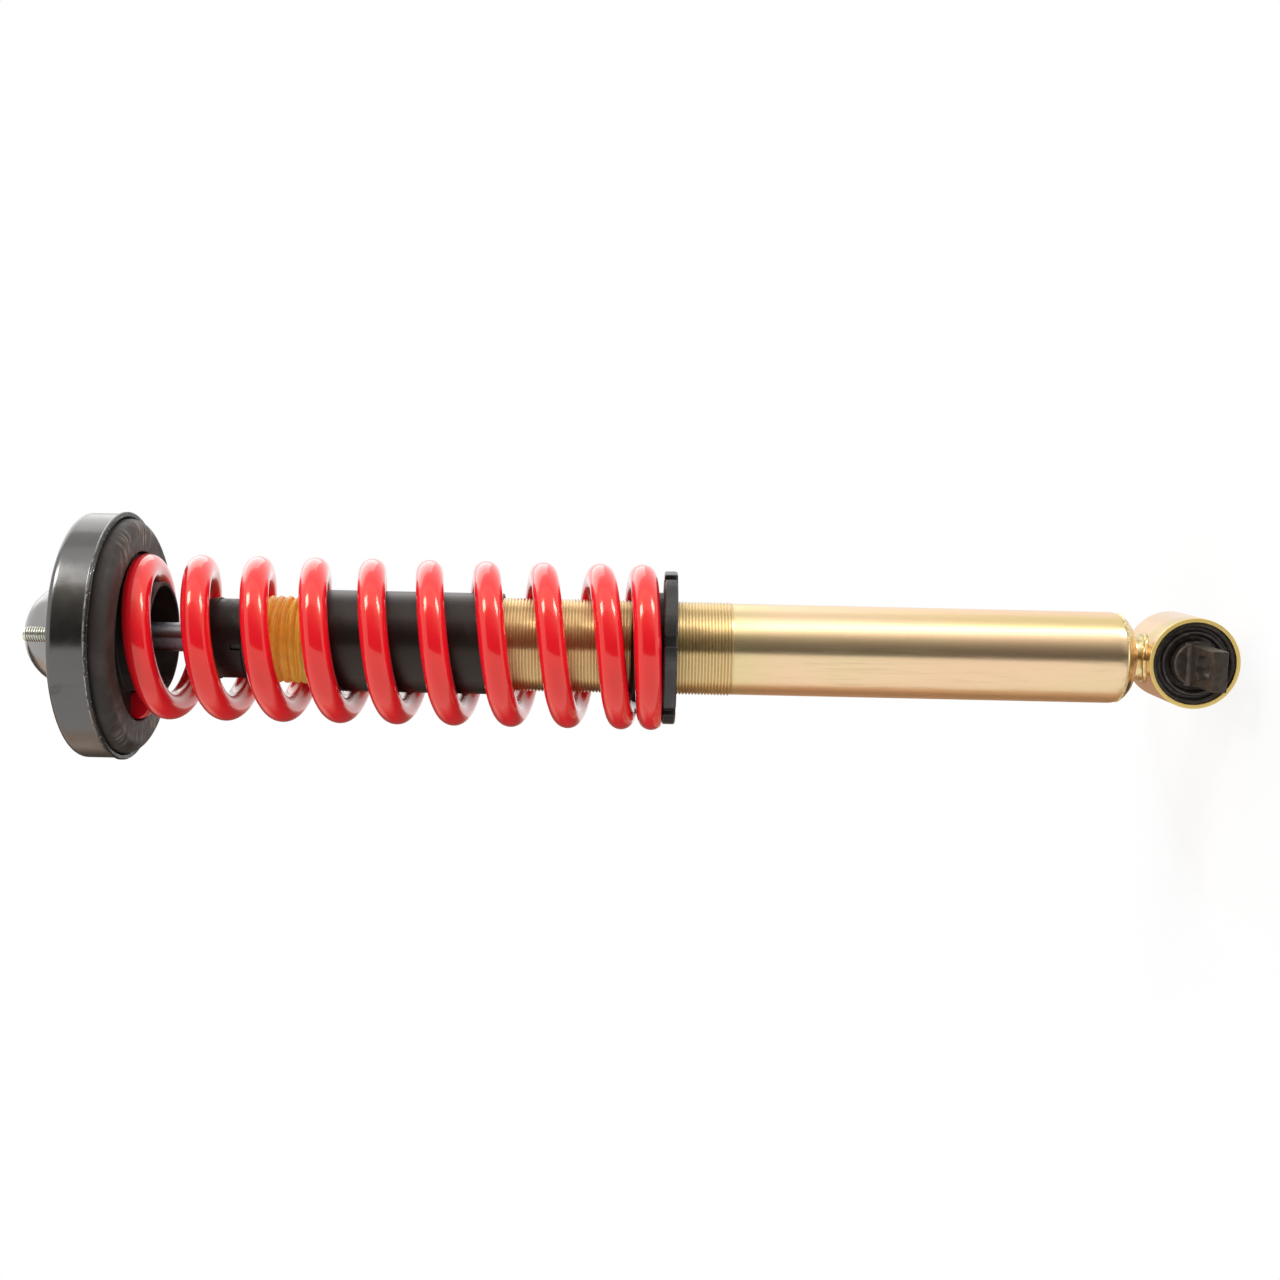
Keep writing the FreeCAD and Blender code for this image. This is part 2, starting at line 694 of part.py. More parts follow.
def spring_seat_ring():
    """The guide ring inside the last coil, with its flange under the spring."""
    bore = "thread_radius + free_gap"
    hub = f"{COIL_BORE} - free_gap"
    body = turned("spring_seat_ring", [
        (bore, "seat_hub_height"), (hub, "seat_hub_height"), (hub, "0"), ("seat_flange_radius", "0"),
        ("seat_flange_radius", "-seat_flange_height"), (bore, "-seat_flange_height"),
    ], depth="bottom_seat_depth")
    hub_radius = size("coil_radius") - size("wire_radius") - size("free_gap")
    soften(body, "hub_edge", "Chamfer", "seat_flange_height", [(hub_radius, size("seat_hub_height"))])


def adjuster_collar():
    """The threaded collar, with a recess for the seat ring and spanner notches."""
    recess = "seat_flange_radius + free_gap"
    bore = "thread_radius + running_gap"
    bottom = "-collar_height"
    body = turned("adjuster_collar", [
        (recess, "-free_gap"), ("collar_radius", "-free_gap"), ("collar_radius", bottom),
        (bore, bottom), (bore, "-seat_flange_height"), (recess, "-seat_flange_height"),
    ], depth="bottom_seat_depth", turn="notch_angle")
    soften(body, "collar_edges", "Chamfer", "collar_edge",
           [(size("collar_radius"), -size("free_gap")), (size("collar_radius"), -size("collar_height"))])
    sketch = new_sketch(body, "notch", "XY_Plane")
    floor = "collar_radius - notch_depth"
    outside = "collar_radius + notch_depth"
    draw_outline(sketch, [
        (floor, "-notch_width / 2"), (outside, "-notch_width / 2"),
        (outside, "notch_width / 2"), (floor, "notch_width / 2"),
    ])
    notch = pocket(body, "notch_cut", sketch)
    polar(body, "notches", notch, sketch, "N_Axis", NOTCH_COUNT)


def body_tube():
    """The damper's outer tube: threaded above, plain below, its end spun inwards."""
    thread_end = "body_top_depth - thread_end_depth"
    end = "body_top_depth - body_end_depth"
    body = turned("body_tube", [
        (BODY_BORE, "0"), ("thread_radius", "0"), ("thread_radius", thread_end),
        ("body_radius", f"{thread_end} - thread_runout"), ("body_radius", end),
        ("0", end), ("0", f"{end} + body_wall"), (BODY_BORE, f"{end} + body_wall"),
    ], depth="body_top_depth")
    end_height = size("body_top_depth") - size("body_end_depth")
    bore_radius = size("body_radius") - size("body_wall")
    soften(body, "end_outside", "Fillet", "end_round", [(size("body_radius"), end_height)])
    soften(body, "end_inside", "Fillet", "end_round - body_wall",
           [(bore_radius, end_height + size("body_wall"))])
    sketch = new_sketch(body, "end_hole", "XY_Plane")
    draw_circle(sketch, "0", "0", "end_hole_radius")
    pocket(body, "end_hole_cut", sketch)


def damper_insides():
    """Gland, seal, rod guide, inner tube and foot valve inside the body tube."""
    outer = f"{BODY_BORE} - fit_gap"
    spigot = f"{TUBE_BORE} - fit_gap"
    rod = "rod_radius + running_gap"
    ring("gland_nut", "rod_radius + free_gap", outer, "gland_height", depth="body_top_depth")
    ring("rod_seal", rod, outer, "seal_height", depth="body_top_depth + gland_height")
    turned("rod_guide", [
        (rod, "0"), (outer, "0"), (outer, "-guide_height"), (spigot, "-guide_height"),
        (spigot, "-guide_height - guide_spigot"), (rod, "-guide_height - guide_spigot"),
    ], depth=GUIDE_TOP)
    ring("inner_tube", TUBE_BORE, "inner_tube_radius", f"{FOOT_VALVE_TOP} - ({GUIDE_BOTTOM})",
         depth=GUIDE_BOTTOM)
    leg_end = "plug_inset + plug_height - foot_valve_rise"
    turned("foot_valve", [
        ("0", "foot_valve_spigot"), (spigot, "foot_valve_spigot"), (spigot, "0"),
        ("inner_tube_radius", "0"), ("inner_tube_radius", "-foot_valve_height"),
        ("foot_valve_leg_radius", "-foot_valve_height"), ("foot_valve_leg_radius", leg_end), ("0", leg_end),
    ], depth=FOOT_VALVE_TOP)


def base_cap():
    """The plug that closes the tube, with the neck that carries the eye."""
    plug = "end_hole_radius - fit_gap"
    plug_top = "plug_inset + plug_height"
    neck_end = "eye_radius - neck_reach - eye_drop"
    body = turned("base_cap", [
        ("0", plug_top), (plug, plug_top), (plug, "plug_inset"), ("neck_radius", "plug_inset"),
        ("neck_radius", neck_end), ("0", neck_end),
    ], depth="body_end_depth")
    sketch = new_sketch(body, "saddle", "XZ_Plane")
    draw_circle(sketch, "0", "-eye_drop", "eye_radius + running_gap")
    pocket(body, "saddle_cut", sketch)


def eye_ring():
    """The eye: a short tube across the strut."""
    inner = "eye_radius - eye_wall"
    body = turned("eye_ring", [
        (inner, "eye_length / 2"), ("eye_radius", "eye_length / 2"),
        ("eye_radius", "-eye_length / 2"), (inner, "-eye_length / 2"),
    ], depth=EYE_DEPTH, lying=True)
    end = size("eye_length") / 2
    soften(body, "eye_edges", "Chamfer", "eye_chamfer",
           [(size("eye_radius"), end), (size("eye_radius"), -end)])


def bush_rubber():
    """The rubber bush in the eye, with a lip and a ring groove on each face."""
    outer = "eye_radius - eye_wall - fit_gap"
    bore = "pin_radius + running_gap"
    face = "rubber_length / 2"
    groove = f"{face} - rubber_groove_depth"
    recess = f"{face} - rubber_recess_depth"
    lip_inside = "rubber_lip_radius - rubber_lip_width / 2"
    lip_outside = "rubber_lip_radius + rubber_lip_width / 2"
    rim = f"{outer} - rubber_rim_width"
    front = [
        (bore, recess), (f"{lip_inside} - rubber_draft", recess), (lip_inside, face), (lip_outside, face),
        (f"{lip_outside} + rubber_draft", groove), (f"{rim} - rubber_draft", groove),
        (rim, face), (outer, face),
    ]
    back = [(across, f"-({up})") for across, up in reversed(front)]
    turned("bush_rubber", front + back, depth=EYE_DEPTH, lying=True)


def slot_outline(sketch):
    """A slot along the sketch's Y, centred half a slot spacing from the origin."""
    radius = size("slot_width") / 2
    reach = size("slot_length") / 2 - radius
    near = size("slot_spacing") / 2 - reach
    far = size("slot_spacing") / 2 + reach
    upwards = Vector(0, 0, 1)
    near_circle = Part.Circle(Vector(0, near, 0), upwards, radius)
    far_circle = Part.Circle(Vector(0, far, 0), upwards, radius)
    low = sketch.addGeometry(Part.ArcOfCircle(near_circle, math.pi, 2 * math.pi), False)
    high = sketch.addGeometry(Part.ArcOfCircle(far_circle, 0, math.pi), False)
    right = sketch.addGeometry(Part.LineSegment(Vector(radius, near, 0), Vector(radius, far, 0)), False)
    left = sketch.addGeometry(Part.LineSegment(Vector(-radius, far, 0), Vector(-radius, near, 0)), False)
    joins = [(low, 2, right, 1), (right, 2, high, 1), (high, 2, left, 1), (left, 2, low, 1)]
    for first, first_end, second, second_end in joins:
        sketch.addConstraint(Sketcher.Constraint("Tangent", first, first_end, second, second_end))
    half = "(slot_length - slot_width) / 2"
    pin_point(sketch, low, 3, "0", f"slot_spacing / 2 - {half}")
    pin_point(sketch, high, 3, "0", f"slot_spacing / 2 + {half}")
    sketch.addConstraint(Sketcher.Constraint("Equal", low, high))
    index = sketch.addConstraint(Sketcher.Constraint("Radius", low, radius))
    sketch.setExpression(f"Constraints[{index}]", bound("slot_width / 2"))


def padded(body, name, sketch, length):
    """A pad to both sides of its sketch."""
    pad = body.newObject("PartDesign::Pad", name)
    pad.Profile = sketch
    pad.Midplane = True
    bind(pad, Length=length)
    return pad


def bar_pin():
    """The bar pin: a round middle in the rubber and two flattened, slotted ends."""
    body = new_body("bar_pin", depth=EYE_DEPTH, lying=True)
    flat = new_sketch(body, "bar_section", "XY_Plane")
    draw_outline(flat, [
        ("-bar_width / 2", "-bar_thickness / 2"), ("bar_width / 2", "-bar_thickness / 2"),
        ("bar_width / 2", "bar_thickness / 2"), ("-bar_width / 2", "bar_thickness / 2"),
    ])
    padded(body, "bar", flat, "bar_length")
    middle = new_sketch(body, "pin_section", "XY_Plane")
    draw_circle(middle, "0", "0", "pin_radius")
    padded(body, "pin", middle, "pin_length")
    document.recompute()
    base = body.Tip
    roots = []
    for number, edge in enumerate(base.Shape.Edges, start=1):
        if not isinstance(edge.Curve, Part.Line):
            continue
        centre = edge.BoundBox.Center
        along_x = edge.BoundBox.XLength > TINY
        if along_x and abs(abs(centre.z) - size("pin_length") / 2) < TINY:
            roots.append(f"Edge{number}")
    fillet = body.newObject("PartDesign::Fillet", "bar_roots")
    fillet.Base = (base, roots)
    bind(fillet, Radius="bar_root_round")
    sketch = new_sketch(body, "slot", "XZ_Plane")
    slot_outline(sketch)
    slot = pocket(body, "slot_cut", sketch)
    mirrored = body.newObject("PartDesign::Mirrored", "slots")
    mirrored.Originals = [slot]
    plane = next(item for item in body.Origin.OriginFeatures if item.Role == "XY_Plane")
    mirrored.MirrorPlane = (plane, [""])
    body.Tip = mirrored


def build():
    """Builds every piece from the top mount down to the bar pin."""
    fill_sheet()
    mount_cup()
    dome_cap()
    mount_studs()
    isolator()
    rod_fixing()
    rod_nut()
    piston_rod()
    piston_stack()
    bump_stop_cup()
    bump_stop()
    dust_tube()
    spring()
    spring_seat_ring()
    adjuster_collar()
    body_tube()
    damper_insides()
    base_cap()
    eye_ring()
    bush_rubber()
    bar_pin()
    document.recompute()


def check_document():
    """Stops when an object failed or a piece's shape is empty or broken."""
    for item in document.Objects:
        if "Invalid" in item.State or "Error" in item.State:
            raise RuntimeError(f"{item.Name} failed: {item.State}")
    for item in parts:
        if item.Shape.isNull() or not item.Shape.isValid():
            raise RuntimeError(f"{item.Label} has no valid shape")


def write_steps():
    """Writes one file for each piece."""
    os.makedirs("parts", exist_ok=True)
    for item in parts:
        item.Shape.exportStep(f"parts/{item.Label}.step")
        box = item.Shape.BoundBox
        print(f"{item.Label}: {len(item.Shape.Solids)} solid, {item.Shape.Volume / 1000:.2f} cm3,"
              f" z {box.ZMin:.1f} to {box.ZMax:.1f}, width {box.XLength:.1f} x {box.YLength:.1f}")


build()
check_document()
write_steps()
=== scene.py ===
"""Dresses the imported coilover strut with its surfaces, finishes, studio and camera."""

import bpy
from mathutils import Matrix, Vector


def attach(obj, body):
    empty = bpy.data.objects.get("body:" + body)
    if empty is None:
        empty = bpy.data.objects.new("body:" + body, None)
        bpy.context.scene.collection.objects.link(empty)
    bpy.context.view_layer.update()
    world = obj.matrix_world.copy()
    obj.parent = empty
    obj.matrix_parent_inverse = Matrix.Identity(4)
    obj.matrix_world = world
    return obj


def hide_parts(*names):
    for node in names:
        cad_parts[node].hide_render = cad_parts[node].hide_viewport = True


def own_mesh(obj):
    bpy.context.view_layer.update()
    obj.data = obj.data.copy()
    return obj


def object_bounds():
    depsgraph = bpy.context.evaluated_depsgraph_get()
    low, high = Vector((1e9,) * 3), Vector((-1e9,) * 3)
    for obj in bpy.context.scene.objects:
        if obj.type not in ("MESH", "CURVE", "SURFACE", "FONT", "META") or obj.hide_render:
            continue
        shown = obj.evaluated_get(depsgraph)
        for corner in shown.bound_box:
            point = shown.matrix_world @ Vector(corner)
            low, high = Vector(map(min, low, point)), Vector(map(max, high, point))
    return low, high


bl_info = {
    "name": "Coilover strut",
    "version": (1, 0, 0),
    "blender": (4, 5, 0),
    "location": "View3D > Sidebar > Strut",
    "description": "Builds the visible pieces of a coilover strut around its packed frame",
    "category": "Add Mesh",
}

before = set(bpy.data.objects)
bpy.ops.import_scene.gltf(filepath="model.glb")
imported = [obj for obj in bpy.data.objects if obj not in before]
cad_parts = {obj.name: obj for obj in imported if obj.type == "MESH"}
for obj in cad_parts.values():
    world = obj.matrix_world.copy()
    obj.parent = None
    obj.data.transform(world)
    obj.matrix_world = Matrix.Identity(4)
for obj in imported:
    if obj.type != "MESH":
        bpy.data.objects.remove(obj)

import math

import bmesh
import bpy
import numpy as np
from bpy.props import FloatProperty, FloatVectorProperty, IntProperty, PointerProperty
from mathutils import Matrix, Vector

CAD_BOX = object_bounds()
MM = 0.001
TURN = 2 * np.pi
EYE_CENTRE = (0, 0, -601.6)         # mm
CAMERA_SIDE = math.radians(-84)     # direction of the camera round Z
SCENE_COLOURS = "strut_colours"
SCENE_SIZES = "strut_sizes"


# Settings ------------------------------------------------------------------

class StrutSizes(bpy.types.PropertyGroup):
    """Sizes of the dressed pieces."""
    wire_radius: FloatProperty(name="Wire radius", default=7.5 * MM, unit="LENGTH", precision=5,
                               description="Radius of the spring's wire")
    coil_radius: FloatProperty(name="Coil radius", default=38 * MM, unit="LENGTH", precision=5,
                               description="Radius of the coil's centre line")
    coil_turns: FloatProperty(name="Turns", default=10.07,
                              description="Turns from one wire tip to the other")
    thread_pitch: FloatProperty(name="Thread pitch", default=1.75 * MM, unit="LENGTH", precision=5,
                                description="Lead of the body's thread")
    thread_depth: FloatProperty(name="Thread depth", default=0.85 * MM, unit="LENGTH", precision=5,
                                description="Crest to root of the body's thread")
    weld_ripples: IntProperty(name="Weld ripples", default=120,
                              description="Ripples round the closing seam")
    lip_waviness: FloatProperty(name="Lip waviness", default=0.16 * MM, unit="LENGTH", precision=5,
                                description="How far the cup's lip wanders")


class StrutColours(bpy.types.PropertyGroup):
    """Base colours of the finishes."""
    spring: FloatVectorProperty(name="Spring", subtype="COLOR", default=(0.86, 0.0075, 0.02),
                                description="Powder coat of the spring")
    cup: FloatVectorProperty(name="Cup", subtype="COLOR", default=(0.14, 0.136, 0.132),
                             description="Dip coat of the pressed cup")
    foam: FloatVectorProperty(name="Foam", subtype="COLOR", default=(0.97, 0.57, 0.075),
                              description="Bump stop")
    zinc: FloatVectorProperty(name="Zinc", subtype="COLOR", default=(0.90, 0.65, 0.41),
                              description="Yellow zinc plate of the body")
    rubber: FloatVectorProperty(name="Rubber", subtype="COLOR", default=(0.030, 0.023, 0.019),
                                description="Moulded rubber of the isolator")


def sizes():
    return getattr(bpy.context.scene, SCENE_SIZES)


def in_mm(length):
    """A length among the settings in millimetres, without the rounding of its storage."""
    return round(length / MM, 5)


def colours():
    return getattr(bpy.context.scene, SCENE_COLOURS)


# Surfaces on a grid of two parameters ----------------------------------------

def sheet(points, wrap_rows=False, wrap_columns=False):
    """Points and quads of a grid. Each quad joins a point to the next in both
    directions, and a wrapped direction joins its last line to its first."""
    rows, columns = points.shape[:2]
    row = np.arange(rows if wrap_rows else rows - 1)[:, None]
    column = np.arange(columns if wrap_columns else columns - 1)[None, :]
    next_row, next_column = (row + 1) % rows, (column + 1) % columns
    quads = np.stack([row * columns + column, row * columns + next_column,
                      next_row * columns + next_column, next_row * columns + column], -1)
    return points.reshape(-1, 3), quads.reshape(-1, 4)


def even_angles(count):
    """This many angles, evenly round a turn."""
    return np.linspace(0, TURN, count, endpoint=False)


def polar(radius, angle, height):
    """Points round Z: (radius cos a, radius sin a, height)."""
    return np.stack([radius * np.cos(angle), radius * np.sin(angle), height], -1)


def circle(count):
    """A unit circle of this many points: (cos a, sin a)."""
    angle = even_angles(count)
    return np.stack([np.cos(angle), np.sin(angle)], -1)


def rounded(corners, steps=5, closed=True):
    """An outline of (across, up, rounding) corners as dense points. Each corner becomes
    the arc tangent to its two sides, and the ends of an open outline stay sharp."""
    corners = np.array(corners, float)
    point, rounding = corners[:, :2], corners[:, 2].copy()
    if not closed:
        rounding[[0, -1]] = 0
    before, after = np.roll(point, 1, 0) - point, np.roll(point, -1, 0) - point
    shorter = np.minimum(np.linalg.norm(before, axis=1), np.linalg.norm(after, axis=1))
    before /= np.linalg.norm(before, axis=1)[:, None]
    after /= np.linalg.norm(after, axis=1)[:, None]
    half = np.clip(np.arccos(np.clip((before * after).sum(1), -1, 1)) / 2, 1e-3, np.pi / 2 - 1e-4)
    rounding = np.minimum(rounding, 0.48 * shorter * np.tan(half))
    trim = rounding / np.tan(half)
    inwards = before + after
    inwards /= np.maximum(np.linalg.norm(inwards, axis=1), 1e-9)[:, None]
    centre = point + inwards * (rounding / np.sin(half))[:, None]
    first = point + before * trim[:, None] - centre
    last = point + after * trim[:, None] - centre
    sweep = (np.pi - 2 * half)[:, None, None]
    share = np.linspace(0, 1, steps + 1)[None, :, None]
    bend = (np.sin((1 - share) * sweep) * first[:, None]
            + np.sin(share * sweep) * last[:, None]) / np.sin(sweep)
    dense = (centre[:, None] + bend).reshape(-1, 2)
    apart = np.linalg.norm(dense - np.roll(dense, 1, 0), axis=1) > 1e-4
    apart[0] = apart[0] or not closed
    return dense[apart]


def arc(centre, radius, start, end, steps):
    """Points of an arc from one angle to another, in degrees: centre + radius (cos a, sin a)."""
    angle = np.radians(np.linspace(start, end, steps + 1))
    return np.stack([centre[0] + radius * np.cos(angle), centre[1] + radius * np.sin(angle)], -1)


def refined(outline, spacing, closed=True):
    """An outline with points added on its straight runs, no more than the spacing apart."""
    path = np.vstack([outline, outline[:1]]) if closed else outline
    length = np.concatenate([[0], np.cumsum(np.linalg.norm(np.diff(path, axis=0), axis=1))])
    stations = np.unique(np.concatenate([length, np.arange(0, length[-1], spacing)]).round(6))
    if closed:
        stations = stations[:-1]
    return np.stack([np.interp(stations, length, path[:, axis]) for axis in (0, 1)], -1)


def lathe(outline, segments, closed=True, ripple=None):
    """An outline of (radius, height) carried round Z: x = radius cos a, y = radius sin a.
    A ripple, where given, moves radius and height as a function of the angle."""
    angle = even_angles(segments)[:, None]
    radius, height = outline[None, :, 0] + 0 * angle, outline[None, :, 1] + 0 * angle
    if ripple:
        radius, height = ripple(angle, radius, height)
    return sheet(polar(radius, angle, height), True, closed)


def swept(path, across, up, section, closed_path=False):
    """A section (n, 2) carried along a path (m, 3): point = path + across u + up v.
    The section may be one outline or one for each station."""
    section = np.broadcast_to(section, (len(path),) + section.shape[-2:])
    points = path[:, None] + across[:, None] * section[..., :1] + up[:, None] * section[..., 1:]
    return sheet(points, closed_path, True)


def thread(crest, depth, pitch, bottom, top, steps, fades, rests, flat=0.16):
    """A right-handed thread. One ridge's outline is carried up the helix whose height grows by
    one pitch a turn, and its crest is level over the flat share of the pitch. At the bottom and
    the top the radius eases over the fades to the rests."""
    phase = np.array([0, 0.06, 0.5 - flat / 2, 0.5, 0.5 + flat / 2, 0.94, 1.0])
    form = np.array([0, 0.04, 0.97, 1, 0.97, 0.04, 0])
    along = np.arange(int(((top - bottom) / pitch + 2) * steps) + 1)[:, None] / steps
    height = bottom - pitch + pitch * (along + phase)
    angle = TURN * along + 0 * height
    shown = np.clip(height, bottom, top)
    lift = np.clip(np.minimum((shown - bottom) / fades[0], (top - shown) / fades[1]), 0, 1)
    rest = np.where(shown < (top + bottom) / 2, *rests)
    radius = lift * (crest - depth * (1 - form)) + (1 - lift) * rest
    points, quads = sheet(polar(radius, angle, shown))
    inside = (height > bottom) & (height < top)
    return points, quads[inside.reshape(-1)[quads].any(1)]


def waves(angle, seed, lowest, highest):
    """A smooth closed wander of about 1 either way: sines of lowest..highest - 1 waves a turn,
    with seeded phases and sizes."""
    chance = np.random.default_rng(seed)
    count = np.arange(lowest, highest)
    phase, size = chance.uniform(0, TURN, count.size), chance.uniform(0.3, 1, count.size)
    return (np.sin(count * angle[..., None] + phase) * size).sum(-1) / size.sum() * 1.6


def round_bead(angle, radius, height, size):
    """A weld bead round Z with a round section of the given size at each angle."""
    facing = polar(1, angle, 0 * angle)
    up = np.broadcast_to([0, 0, 1.0], facing.shape)
    return swept(polar(radius, angle, height + 0 * angle), facing, up,
                 circle(16) * size[:, None, None], True)


def toothed_bead(radius, height, ripples):
    """A flat weld bead round Z that leans 31 degrees. With t round its section, it reaches
    2 cos t down the slope and sin t, flattened, times a thickness out of it. The ripples,
    |sin| of the angle, thicken and notch the upper edge, where cos t is -1."""
    angle, slope = even_angles(ripples * 10), math.radians(-31)
    facing = polar(1, angle, 0 * angle)
    outwards = facing * math.cos(slope) + np.array([0, 0, math.sin(slope)])
    downwards = facing * math.sin(slope) - np.array([0, 0, math.cos(slope)])
    ripple = np.abs(np.sin(angle * ripples / 2))[:, None]
    around = even_angles(26)[None]
    edge = np.clip(-np.cos(around) * 1.3, 0, 1)
    flattened = np.sign(np.sin(around)) * np.abs(np.sin(around)) ** 0.45
    lumps = 0.04 * waves(angle, 21, 3, 30)[:, None]
    out = flattened * (0.3 - 0.22 * np.cos(around) + 0.26 * edge * ripple + lumps)
    section = np.stack([out, np.cos(around) * 2.0 - 0.4 * edge * ripple], -1)
    return swept(polar(radius, angle, height + 0 * angle), outwards, downwards, section, True)


def together(parts):
    """Several parts, each its points and quads, as one."""
    points, quads = zip(*parts)
    starts = np.cumsum([0] + [len(item) for item in points[:-1]])
    return np.vstack(points), np.vstack([item + start for item, start in zip(quads, starts)])


def laid(part):
    """A part made round Z turned to lie along Y: (x, y, z) goes to (x, z, -y) from the eye."""
    points, quads = part
    return np.stack([points[:, 0], points[:, 2], -points[:, 1]], -1) + np.array(EYE_CENTRE), quads


def moved(part, shift):
    """A part moved by a vector in millimetres."""
    return part[0] + np.array(shift, float), part[1]


def spun(part, degrees):
    """A part turned round Z."""
    cos, sin = math.cos(math.radians(degrees)), math.sin(math.radians(degrees))
    return part[0] @ np.array([[cos, sin, 0], [-sin, cos, 0], [0, 0, 1]]), part[1]


def add_piece(name, parts, body, finish, stands_for=(), sharp=38):
    """One object from parts in millimetres: joined, welded, its faces turned outwards, smooth
    except over edges sharper than the angle, riding on its body."""
    points, quads = together(parts)
    mesh = bpy.data.meshes.new(name)
    mesh.vertices.add(len(points))
    mesh.vertices.foreach_set("co", (points * MM).ravel())
    mesh.loops.add(quads.size)
    mesh.loops.foreach_set("vertex_index", quads.ravel().astype(np.int32))
    mesh.polygons.add(len(quads))
    mesh.polygons.foreach_set("loop_start", np.arange(0, quads.size, 4, dtype=np.int32))
    mesh.update(calc_edges=True)
    shell = bmesh.new()
    shell.from_mesh(mesh)
    bmesh.ops.remove_doubles(shell, verts=shell.verts, dist=2e-6)
    bmesh.ops.dissolve_degenerate(shell, edges=shell.edges, dist=1e-7)
    bmesh.ops.recalc_face_normals(shell, faces=shell.faces)
    shell.to_mesh(mesh)
    shell.free()
    mesh.polygons.foreach_set("use_smooth", np.ones(len(mesh.polygons), bool))
    mesh.set_sharp_from_angle(angle=math.radians(sharp))
    piece = bpy.data.objects.new(name, mesh)
    bpy.context.scene.collection.objects.link(piece)
    mesh.materials.append(finish)
    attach(piece, body)
    if stands_for:
        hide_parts(*stands_for)
    return piece


# Finishes --------------------------------------------------------------------

class Nodes:
    """A material under construction and helpers that add nodes to it. Where a node takes a value,
    it is either an output, which is linked, or a constant."""

    def __init__(self, name):
        self.material = bpy.data.materials.get(name) or bpy.data.materials.new(name)
        self.material.use_nodes = True
        self.material.node_tree.nodes.clear()
        self.place = self.node("TexCoord").outputs["Object"]

    def node(self, kind, values=None, **settings):
        """A node with these settings, its values given by socket number or name."""
        made = self.material.node_tree.nodes.new("ShaderNode" + kind)
        for name, value in settings.items():
            setattr(made, name, value)
        for key, value in (values or {}).items():
            self.put(made.inputs[key], value)
        return made

    def put(self, socket, value):
        if isinstance(value, bpy.types.NodeSocket):
            self.material.node_tree.links.new(value, socket)
        else:
            socket.default_value = (*value, 1) if socket.type == "RGBA" else value

    def math(self, operation, *values, clamp=False):
        return self.node("Math", dict(enumerate(values)), operation=operation,
                         use_clamp=clamp).outputs[0]

    def times(self, first, second):
        return self.math("MULTIPLY", first, second)

    def plus(self, first, second, clamp=False):
        return self.math("ADD", first, second, clamp=clamp)

    def window(self, value, low, high, to_low=0.0, to_high=1.0):
        """Stretches low..high to to_low..to_high, held at both ends."""
        return self.node("MapRange", dict(enumerate((value, low, high, to_low, to_high))),
                         interpolation_type="SMOOTHSTEP").outputs["Result"]

    def shown(self, shader):
        """The material, with this shader as its surface."""
        self.node("OutputMaterial", {"Surface": shader.outputs[0]})
        return self.material


class Finish(Nodes):
    """The finish of a piece: constant values on its shader, noises and bumps."""

    def __init__(self, name, **fixed):
        super().__init__(name)
        fixed = {socket.replace("_", " "): value for socket, value in fixed.items()}
        self.shader = self.node("BsdfPrincipled", fixed)

    def noise(self, scale, detail=3, vector=None, roughness=0.55, warp=0):
        return self.node("TexNoise", {"Vector": vector or self.place, "Scale": scale,
                                      "Detail": detail, "Roughness": roughness,
                                      "Distortion": warp}).outputs["Fac"]

    def scaled(self, scale):
        """The place on the piece, stretched by a scale of its own along each axis."""
        return self.node("VectorMath", {0: self.place, 1: scale}, operation="MULTIPLY").outputs[0]

    def lines(self, detail, *axes):
        """Noise over three coordinates of its own, each an output and its scale, or 0 for none."""
        axes = enumerate(self.times(*axis) if axis else 0 for axis in axes)
        return self.noise(1, detail, self.node("CombineXYZ", dict(axes)).outputs[0])

    def wander(self, noise, low, high):
        """A value that goes from low to high with a noise."""
        return self.window(noise, 0.3, 0.7, low, high)

    def ramp(self, place, start, end):
        """0 at the start and 1 at the end, both in millimetres, held beyond them."""
        return self.window(place, start * MM, end * MM)

    def mix(self, share, first, second):
        """The first colour where the share is 0 and the second where it is 1."""
        made = self.node("Mix", {0: share, 6: first, 7: second}, data_type="RGBA",
                         clamp_factor=True)
        return made.outputs[2]

    def round_axis(self, axis="Z", centre=(0, 0, 0)):
        """Radius, angle and height of a point round an axis, in metres and radians."""
        centre = [value * MM for value in centre]
        from_centre = self.node("VectorMath", {0: self.place, 1: centre}, operation="SUBTRACT")
        x, y, z = self.node("SeparateXYZ", {0: from_centre.outputs[0]}).outputs
        first, second, height = (x, y, z) if axis == "Z" else (x, z, y)
        radius = self.math("SQRT", self.plus(self.times(first, first), self.times(second, second)))
        return radius, self.math("ARCTAN2", second, first), height

    def smeared(self):
        """Smears the gloss along the object's Z."""
        tangent = self.node("Tangent", direction_type="RADIAL", axis="Z").outputs[0]
        self.put(self.shader.inputs["Tangent"], tangent)

    def dressed(self, colour, roughness, *reliefs):
        """The material, with this colour and roughness, and with bumps of (height, depth in
        millimetres), each on top of those before."""
        normal = {}
        for height, depth in reliefs:
            bump = self.node("Bump", {"Strength": 1, "Distance": depth * MM, "Height": height,
                                      **normal})
            normal = {"Normal": bump.outputs[0]}
        for name, value in {"Base Color": colour, "Roughness": roughness, **normal}.items():
            self.put(self.shader.inputs[name], value)
        return self.shown(self.shader)


def tint(colour, factor):
    """A colour made lighter or darker."""
    return tuple(min(value * factor, 1) for value in colour)


